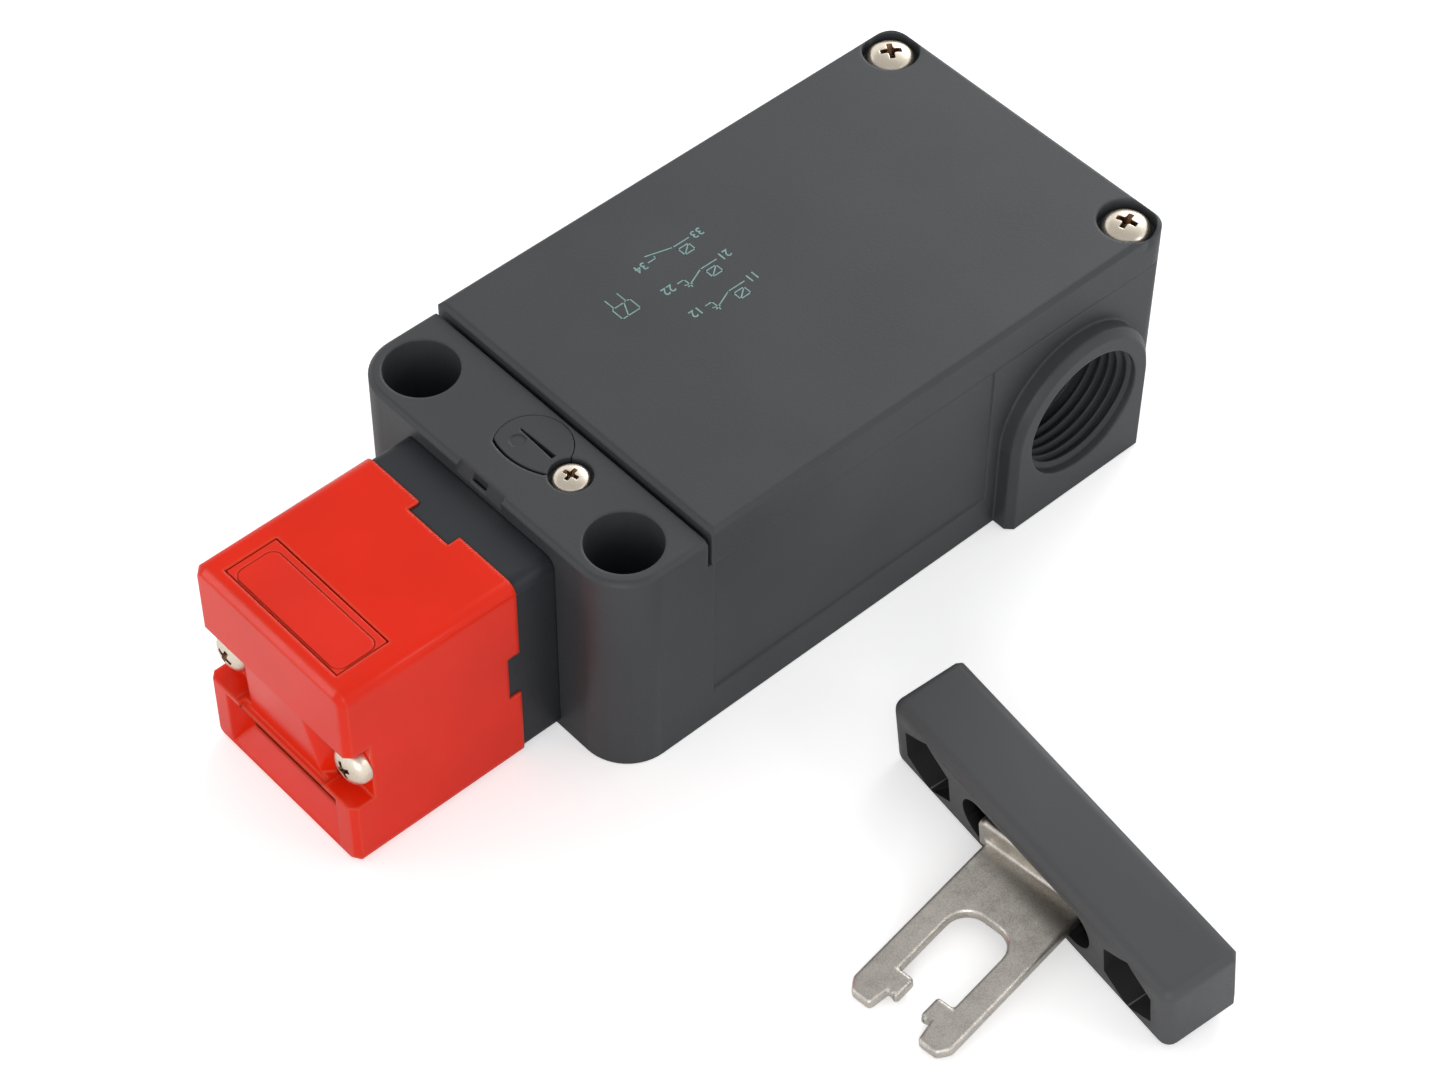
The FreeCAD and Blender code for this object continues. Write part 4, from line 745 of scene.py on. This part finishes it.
class INTERLOCK_OT_head(bpy.types.Operator):
    """Finishes the red head and the plug in its upper slot"""
    bl_idname = "interlock.head"
    bl_label = "Head"

    SLACK = 0.02 * MM  # between the frame and the slot's wall
    NEAR, FAR = 0.26 * MM, 1.05 * MM  # width of the frame on its near and far sides
    GROOVE_DEPTH = 0.4 * MM
    FRAME_CORNER, LEAST_CORNER = 0.15 * MM, 0.02 * MM
    FRAME_EDGE, LIP_EDGE = 0.06 * MM, 0.05 * MM  # bevels of the frame's rim and mouth
    PLUG_EDGE = (0.05 * MM, 0.06 * MM), (0.16 * MM, 0.16 * MM)  # inset and drop, twice
    CORNER_STEPS = 8

    def execute(self, context):
        tints, sizes = settings()
        finish_node("head", made("Red enamel", enamelled, tints.head, sizes.enamel_radius))
        soften("head", sizes.corner_round)
        plug = self.slot_plug(sizes, made(
            "Red plug", enamelled, tints.plug, sizes.enamel_radius * 0.5, roughness=0.36))
        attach(plug, "switch_body")
        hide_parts("slot_plug")
        return {"FINISHED"}

    def slot_plug(self, sizes, material):
        """A square-cornered frame in the slot's mouth, and a round-cornered plug in a groove."""
        low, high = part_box("slot_plug")
        head_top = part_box("head")[1].z
        frame_top, face = head_top - sizes.plug_frame, head_top - sizes.plug_sunk
        groove, corner = sizes.plug_groove, sizes.plug_corner
        floor = face - self.GROOVE_DEPTH
        (soft_in, soft_down), (top_in, side_down) = self.PLUG_EDGE
        outer = ((low.x + self.SLACK, low.y + self.SLACK),
                 (high.x - self.SLACK, high.y - self.SLACK))
        plug = ((low.x + self.NEAR, low.y + self.NEAR), (high.x - self.FAR, high.y - self.FAR))
        mouth = tuple((x + grow, y + grow) for (x, y), grow in zip(plug, (-groove, groove)))
        work = bmesh.new()
        self.plate(work, *outer, self.FRAME_CORNER, [(0.0, low.z), (0.0, floor)])
        rim = self.plate(work, *outer, self.FRAME_CORNER, [
            (0.0, floor), (0.0, frame_top - self.FRAME_EDGE), (self.FRAME_EDGE, frame_top)],
            closed=False)
        lip = self.plate(work, *mouth, corner + groove, [
            (0.0, floor), (0.0, frame_top - self.LIP_EDGE), (-self.LIP_EDGE, frame_top)],
            closed=False)
        join_rings(work, rim, lip)
        self.plate(work, *plug, corner, [
            (0.0, floor), (0.0, face - side_down), (soft_in, face - soft_down), (top_in, face)])
        return mesh_object("head_slot_plug", work, material, smooth=13)

    def plate(self, work, low, high, corner, profile, closed=True):
        """A round-cornered plate whose side follows (inset, height); gives its top ring."""
        left, near = low[0] + corner, low[1] + corner
        right, far = high[0] - corner, high[1] - corner
        middles = (right, far), (left, far), (left, near), (right, near)
        rings = []
        for inset, height in profile:
            ring, radius = [], max(corner - inset, self.LEAST_CORNER)
            for turn, (x, y) in enumerate(middles):
                for step in range(self.CORNER_STEPS + 1):
                    at = math.radians(90.0 * (turn + step / self.CORNER_STEPS))
                    point = x + radius * math.cos(at), y + radius * math.sin(at), height
                    ring.append(work.verts.new(point))
            rings.append(ring)
        for lower, upper in zip(rings, rings[1:]):
            join_rings(work, lower, upper)
        if closed:
            work.faces.new(rings[-1])
            work.faces.new(tuple(reversed(rings[0])))
        return rings[-1]


class INTERLOCK_OT_screws(bpy.types.Operator):
    """Builds the cross-recess screws of the cover, the head and the release cap"""
    bl_idname = "interlock.screws"
    bl_label = "Screws"

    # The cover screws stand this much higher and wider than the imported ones
    COVER_LIFT, COVER_SPREAD = 0.2 * MM, 0.25 * MM

    def execute(self, context):
        sizes = settings()[1]
        self.row("cover_screws", "cover", (0, 0, 1), sizes.cover_head, 1.6 * MM, 0.7 * MM,
                 (0.3, 1.0), self.COVER_LIFT, self.COVER_SPREAD)
        self.row("head_screws", "switch_body", (-1, 0, 0), sizes.head_head, 1.3 * MM, 0.5 * MM,
                 (0.5, 1.2))
        self.row("release_screw", "switch_body", (0, 0, 1), sizes.release_head, 1.0 * MM,
                 0.45 * MM, (0.25,))
        return {"FINISHED"}

    def row(self, node, body, axis, height, shank, pitch, turns, lift=0.0, spread=0.0):
        """Like screws for one node, near side first, each with its recess's turn in radians."""
        low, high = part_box(node)
        middle = (low + high) / 2
        upright = axis[2] == 1
        radius = (high.x - low.x) / 2 if upright else (high.z - low.z) / 2
        reach = (high.z - low.z) if upright else (high.x - low.x)
        for side, turn in enumerate(turns):
            across = high.y - radius if side else low.y + radius
            if upright:
                seat = Vector((middle.x, across, high.z + lift - height))
            else:
                seat = Vector((low.x + height, across, middle.z))
            place = Matrix.Translation(seat) @ facing(axis) @ Matrix.Rotation(turn, 4, "Z")
            screw = cross_screw("%s_%s" % (node, "ab"[side]), place, radius + spread, height,
                                shank, reach + lift - height, pitch)
            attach(screw, body)
            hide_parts(node)


class INTERLOCK_OT_entries(bpy.types.Operator):
    """Adds the threads of the three cable entries and their knock-outs"""
    bl_idname = "interlock.entries"
    bl_label = "Cable entries"

    THREAD_STEPS = 96
    THREAD_ENDS = 0.9  # share of the pitch that the thread stays short by
    DISC_STEPS = 64
    DISC_GAP = 0.3 * MM  # between the knock-out's ring and the thread's crest
    DISC_SINK = 0.02 * MM  # how far the disc goes into the floor

    def execute(self, context):
        tints, sizes = settings()
        # A tenth darker than the housing: painted shade inside the cable entries.
        dark = made("Entry moulding", moulded, shade(tints.housing, 0.9), 0.3 * MM,
                    grain=0.25, roughness=0.48)
        x, z = ENTRY_CENTRE.x, ENTRY_CENTRE.z
        mouths = (("near", (x, HOUSING_LOW.y, z), (0, -1, 0)),
                  ("far", (x, HOUSING_HIGH.y, z), (0, 1, 0)),
                  ("rear", (HOUSING_HIGH.x, 0.0, z), (1, 0, 0)))
        for label, mouth, axis in mouths:
            for piece in (self.thread(sizes, label, dark), self.knock_out(sizes, label, dark)):
                piece.data.transform(Matrix.Translation(mouth) @ facing(axis))
                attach(piece, "switch_body")
        return {"FINISHED"}

    def thread(self, sizes, label, material):
        """Internal thread below the mouth at z = 0."""
        pitch = sizes.thread_pitch
        turns = (sizes.entry_depth - sizes.thread_start - self.THREAD_ENDS * pitch) / pitch
        work = bmesh.new()
        add_helix(work, sizes.thread_root, sizes.thread_crest, pitch, turns, self.THREAD_STEPS,
                  -sizes.entry_depth + 0.5 * pitch)
        return mesh_object("entry_thread_" + label, work, material, smooth=40)

    def knock_out(self, sizes, label, material):
        """Thin disc with a raised ring that closes the entry until a hole is broken through."""
        floor, lift = -sizes.entry_depth, sizes.ring_height
        top, groove, hub = floor + lift, floor + 0.3 * lift, floor + 0.5 * lift
        outer = sizes.thread_crest - self.DISC_GAP
        profile = [(outer, floor - self.DISC_SINK), (outer, top), (outer - 0.5 * MM, top),
                   (outer - 0.8 * MM, groove), (outer - 1.6 * MM, groove),
                   (outer - 1.9 * MM, top), (1.5 * MM, top), (1.0 * MM, hub), (0.0, hub)]
        work = bmesh.new()
        turned_rings(work, profile, self.DISC_STEPS)
        return mesh_object("entry_knockout_" + label, work, material, smooth=30)


class INTERLOCK_OT_print(bpy.types.Operator):
    """Prints the contact diagram with plain terminal numbers on the cover"""
    bl_idname = "interlock.print"
    bl_label = "Cover print"

    # Places along the cover in millimetres: the numbers, a contact's leads and its box
    FIRST_X, SECOND_X = 42.4, 32.5
    START_X, HINGE_X, STUB_X = 41.0, 38.2, 35.2
    BOX_LEFT, BOX_RIGHT = 38.5, 40.3
    # Each contact: its place across the cover, its two numbers and whether it is closed
    ROWS = ((13.9, "33", "34", False), (8.4, "21", "22", True), (2.9, "11", "12", True))
    COIL = 24.5, 27.6, 8.3, 10.5  # left, right, low and high side of the coil's box
    BOLDER = 0.02 * MM  # added all round the strokes of the numbers

    def execute(self, context):
        tints, self.sizes = settings()
        self.height = COVER_TOP + self.sizes.print_height
        self.work = bmesh.new()
        for y, first, second, closed in self.ROWS:
            self.contact(y, closed)
            self.number(first, self.FIRST_X, y)
            self.number(second, self.SECOND_X, y)
        self.coil()
        ink = made("Pale ink", inked, tints.print_ink)
        piece = mesh_object("cover_print", self.work, ink)
        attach(piece, "cover")
        return {"FINISHED"}

    def line(self, *points):
        """A printed line through points given in millimetres on the cover."""
        half = self.sizes.line_width / 2
        for start, end in zip(points, points[1:]):
            a, b = Vector((*start, 0.0)) * MM, Vector((*end, 0.0)) * MM
            along = (b - a).normalized() * half
            across = Vector((-along.y, along.x, 0.0))
            rim = (a - along + across, a - along - across, b + along - across, b + along + across)
            self.work.faces.new([self.work.verts.new((p.x, p.y, self.height)) for p in rim])

    def box(self, left, right, low, high, *more):
        """The four sides of a box from its lower left corner, and on through more points."""
        self.line((left, low), (right, low), (right, high), (left, high), (left, low), *more)

    def contact(self, y, closed):
        """One switch contact with the boxed symbol of what drives it."""
        start, hinge, stub = self.START_X, self.HINGE_X, self.STUB_X
        if closed:
            self.line((start, y), (hinge, y), (stub - 0.3, y - 1.4))
            self.line((stub - 1.0, y), (stub + 0.1, y), (stub + 0.1, y - 1.7))
            self.line((stub - 0.5, y - 0.9), (stub + 0.4, y - 1.3))
        else:
            self.line((start, y), (hinge, y), (stub - 0.9, y + 1.15))
            self.line((stub - 1.3, y), (stub, y), (stub, y + 0.35))
        low, high = y - 2.15, y - 0.75
        self.box(self.BOX_LEFT, self.BOX_RIGHT, low, high, (self.BOX_RIGHT, high))

    def coil(self):
        """The locking coil's symbol and its two leads."""
        left, right, low, high = self.COIL
        self.box(*self.COIL)
        self.line((left + 1.0, low), (right - 1.0, high))
        for lead in (right - 0.6, left + 0.4):
            self.line((lead, high), (lead, high + 1.8))

    def number(self, words, x, y):
        """A plain number, read from the far side of the switch."""
        curve = bpy.data.curves.new("digits", "FONT")
        curve.body = words
        curve.size = self.sizes.digit_height
        curve.align_x, curve.align_y = "CENTER", "CENTER"
        curve.resolution_u = 3
        curve.offset = self.BOLDER
        temporary = link_object("digits", curve)
        bpy.context.view_layer.update()
        mesh = settled_mesh(temporary)
        mesh.transform(Matrix.Translation((x * MM, y * MM, self.height))
                       @ Matrix.Rotation(math.pi, 4, "Z"))
        self.work.from_mesh(mesh)
        bpy.data.objects.remove(temporary)
        bpy.data.curves.remove(curve)
        bpy.data.meshes.remove(mesh)


class INTERLOCK_OT_key(bpy.types.Operator):
    """Builds the key's block with its rounded ends, and finishes its back plate"""
    bl_idname = "interlock.key"
    bl_label = "Key block"

    SPARE = 4.0 * MM  # added to the trimming box on one side
    ROUND_STEPS = 6
    SKIN = 0.25 * MM  # faces deeper than this belong to a pocket

    def execute(self, context):
        tints, sizes = settings()
        material = made(
            "Key moulding", moulded, tints.key, sizes.edge_radius, scale=2000.0, grain=0.3,
            roughness=0.5)
        # Second material: painted shade inside the pockets.
        pocket = made(
            "Key pocket", moulded, tints.pocket, sizes.edge_radius * 0.5, scale=2000.0,
            grain=0.3, roughness=0.6, edge=0.2, specular=0.15)
        finish_node("key_backplate", material)
        low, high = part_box("key_block")
        place = (Matrix.Translation((low + high) / 2)
                 @ Matrix.Rotation(sizes.key_heading, 4, "Z")
                 @ Matrix.Rotation(sizes.key_dip, 4, "Y"))
        work = self.trimmed(self.rounded_box(place, sizes))
        self.mark_pockets(work, place, sizes)
        block = mesh_object("key_body", work, material, pocket, smooth=30)
        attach(block, "key")
        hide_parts("key_block")
        return {"FINISHED"}

    def rounded_box(self, place, sizes):
        """A box whose edges and ends are rounded, in the place of the key's block."""
        size = (sizes.key_depth + self.SPARE, sizes.key_length, sizes.key_height, 1.0)
        work = bmesh.new()
        shape = Matrix.Translation((-self.SPARE / 2, 0.0, 0.0)) @ Matrix.Diagonal(size)
        bmesh.ops.create_cube(work, size=1.0, matrix=shape)
        bmesh.ops.bevel(
            work, geom=work.edges[:], offset=sizes.key_round, segments=self.ROUND_STEPS,
            profile=0.5, affect="EDGES", clamp_overlap=True)
        bmesh.ops.transform(work, matrix=place, verts=work.verts)
        return mesh_object("key_trimmer", work)

    def trimmed(self, trimmer):
        """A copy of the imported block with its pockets, trimmed by another object."""
        block = link_object("key_rough", NODES["key_block"].data.copy())
        block.modifiers.new("join", "WELD").merge_threshold = MERGE_DISTANCE
        trim = block.modifiers.new("trim", "BOOLEAN")
        trim.operation, trim.object, trim.solver = "INTERSECT", trimmer, "EXACT"
        mesh = settled_mesh(block)
        rough = block.data
        bpy.data.objects.remove(block)
        bpy.data.objects.remove(trimmer)
        bpy.data.meshes.remove(rough)
        work = bmesh.new()
        work.from_mesh(mesh)
        bpy.data.meshes.remove(mesh)
        if not work.faces:
            raise RuntimeError("the key block came out empty")
        bmesh.ops.remove_doubles(work, verts=work.verts, dist=MERGE_DISTANCE)
        return work

    def mark_pockets(self, work, place, sizes):
        """Gives the faces inside the block the second material, which paints shade into the
        pockets.
        """
        back = place.inverted()
        reach = Vector((sizes.key_depth, sizes.key_length, sizes.key_height)) / 2
        for face in work.faces:
            spot = back @ face.calc_center_median()
            inside = all(abs(spot[i]) < reach[i] - self.SKIN for i in range(3))
            rounded = sum(abs(spot[i]) > reach[i] - sizes.key_round for i in range(3)) >= 2
            face.material_index = 1 if inside and not rounded else 0


class INTERLOCK_OT_tongue(bpy.types.Operator):
    """Finishes the key's steel tongue and its pivot"""
    bl_idname = "interlock.tongue"
    bl_label = "Key tongue"

    def execute(self, context):
        tints, sizes = settings()
        finish_node("key_tongue", made(
            "Tumbled steel", metal, tints.tongue, radius=sizes.steel_radius, scale=420.0,
            roughness=0.34, dents=0.10, contrast=0.32, edge=1.0))
        soften("key_tongue", sizes.steel_round, clamp=False)
        finish_node("key_pivot", pin_steel())
        return {"FINISHED"}


class INTERLOCK_OT_works(bpy.types.Operator):
    """Finishes the cam, lock, contacts and coil inside the housing"""
    bl_idname = "interlock.works"
    bl_label = "Inner works"

    WIRE_PITCH = 0.3 * MM

    def execute(self, context):
        cam = made("Cam steel", metal, (0.52, 0.52, 0.53), scale=700.0, roughness=0.35)
        black = made("Black moulding", moulded, (0.02, 0.02, 0.022), 0.2 * MM, grain=0.2)
        zinc = made("Zinc sheet", metal, (0.62, 0.64, 0.66), scale=150.0, roughness=0.42)
        pale = made("Natural moulding", moulded, (0.62, 0.58, 0.50), 0.2 * MM, grain=0.15)
        brass = made("Stamped brass", metal, (0.72, 0.50, 0.20), scale=400.0)
        copper = made("Copper winding", winding, (0.52, 0.20, 0.08), self.WIRE_PITCH)
        spring = made("Spring steel", metal, (0.42, 0.42, 0.44), scale=900.0)
        finishes = (
            (cam, ("cam_wheel", "lock_bolt")),
            (pin_steel(), ("cam_axle", "armature")),
            (black, ("cam_cradle", "contact_block", "coil_terminal")),
            (zinc, ("lock_link", "solenoid_yoke", "terminal_screws")),
            (pale, ("push_rod", "contact_carrier", "solenoid_bobbin")),
            (brass, ("fixed_contacts", "contact_bridges")),
            (copper, ("solenoid_coil",)),
            (spring, ("return_spring", "lock_spring")))
        for material, nodes in finishes:
            for node in nodes:
                finish_node(node, material)
        return {"FINISHED"}


OPERATORS = (INTERLOCK_OT_stage, INTERLOCK_OT_mouldings, INTERLOCK_OT_head, INTERLOCK_OT_screws,
             INTERLOCK_OT_entries, INTERLOCK_OT_print, INTERLOCK_OT_key, INTERLOCK_OT_tongue,
             INTERLOCK_OT_works)
SETTINGS = {"interlock_stage": InterlockStage, "interlock_colours": InterlockColours,
            "interlock_sizes": InterlockSizes}


class INTERLOCK_PT_panel(bpy.types.Panel):
    """Lists the pieces of the switch in the order in which they are made"""
    bl_idname = "INTERLOCK_PT_panel"
    bl_label = "Interlock switch"
    bl_space_type = "VIEW_3D"
    bl_region_type = "UI"
    bl_category = "Interlock"

    def draw(self, context):
        for operator in OPERATORS:
            self.layout.operator(operator.bl_idname)
        for group, kind in SETTINGS.items():
            box = self.layout.box()
            for name in kind.__annotations__:
                box.prop(getattr(context.scene, group), name)


CLASSES = (*SETTINGS.values(), *OPERATORS, INTERLOCK_PT_panel)


def register():
    for kind in CLASSES:
        bpy.utils.register_class(kind)
    for name, kind in SETTINGS.items():
        setattr(bpy.types.Scene, name, PointerProperty(type=kind))


def unregister():
    for name in SETTINGS:
        delattr(bpy.types.Scene, name)
    for kind in reversed(CLASSES):
        bpy.utils.unregister_class(kind)


def main():
    register()
    for operator in OPERATORS:
        group, name = operator.bl_idname.split(".")
        getattr(getattr(bpy.ops, group), name)()


if __name__ == "__main__":
    main()
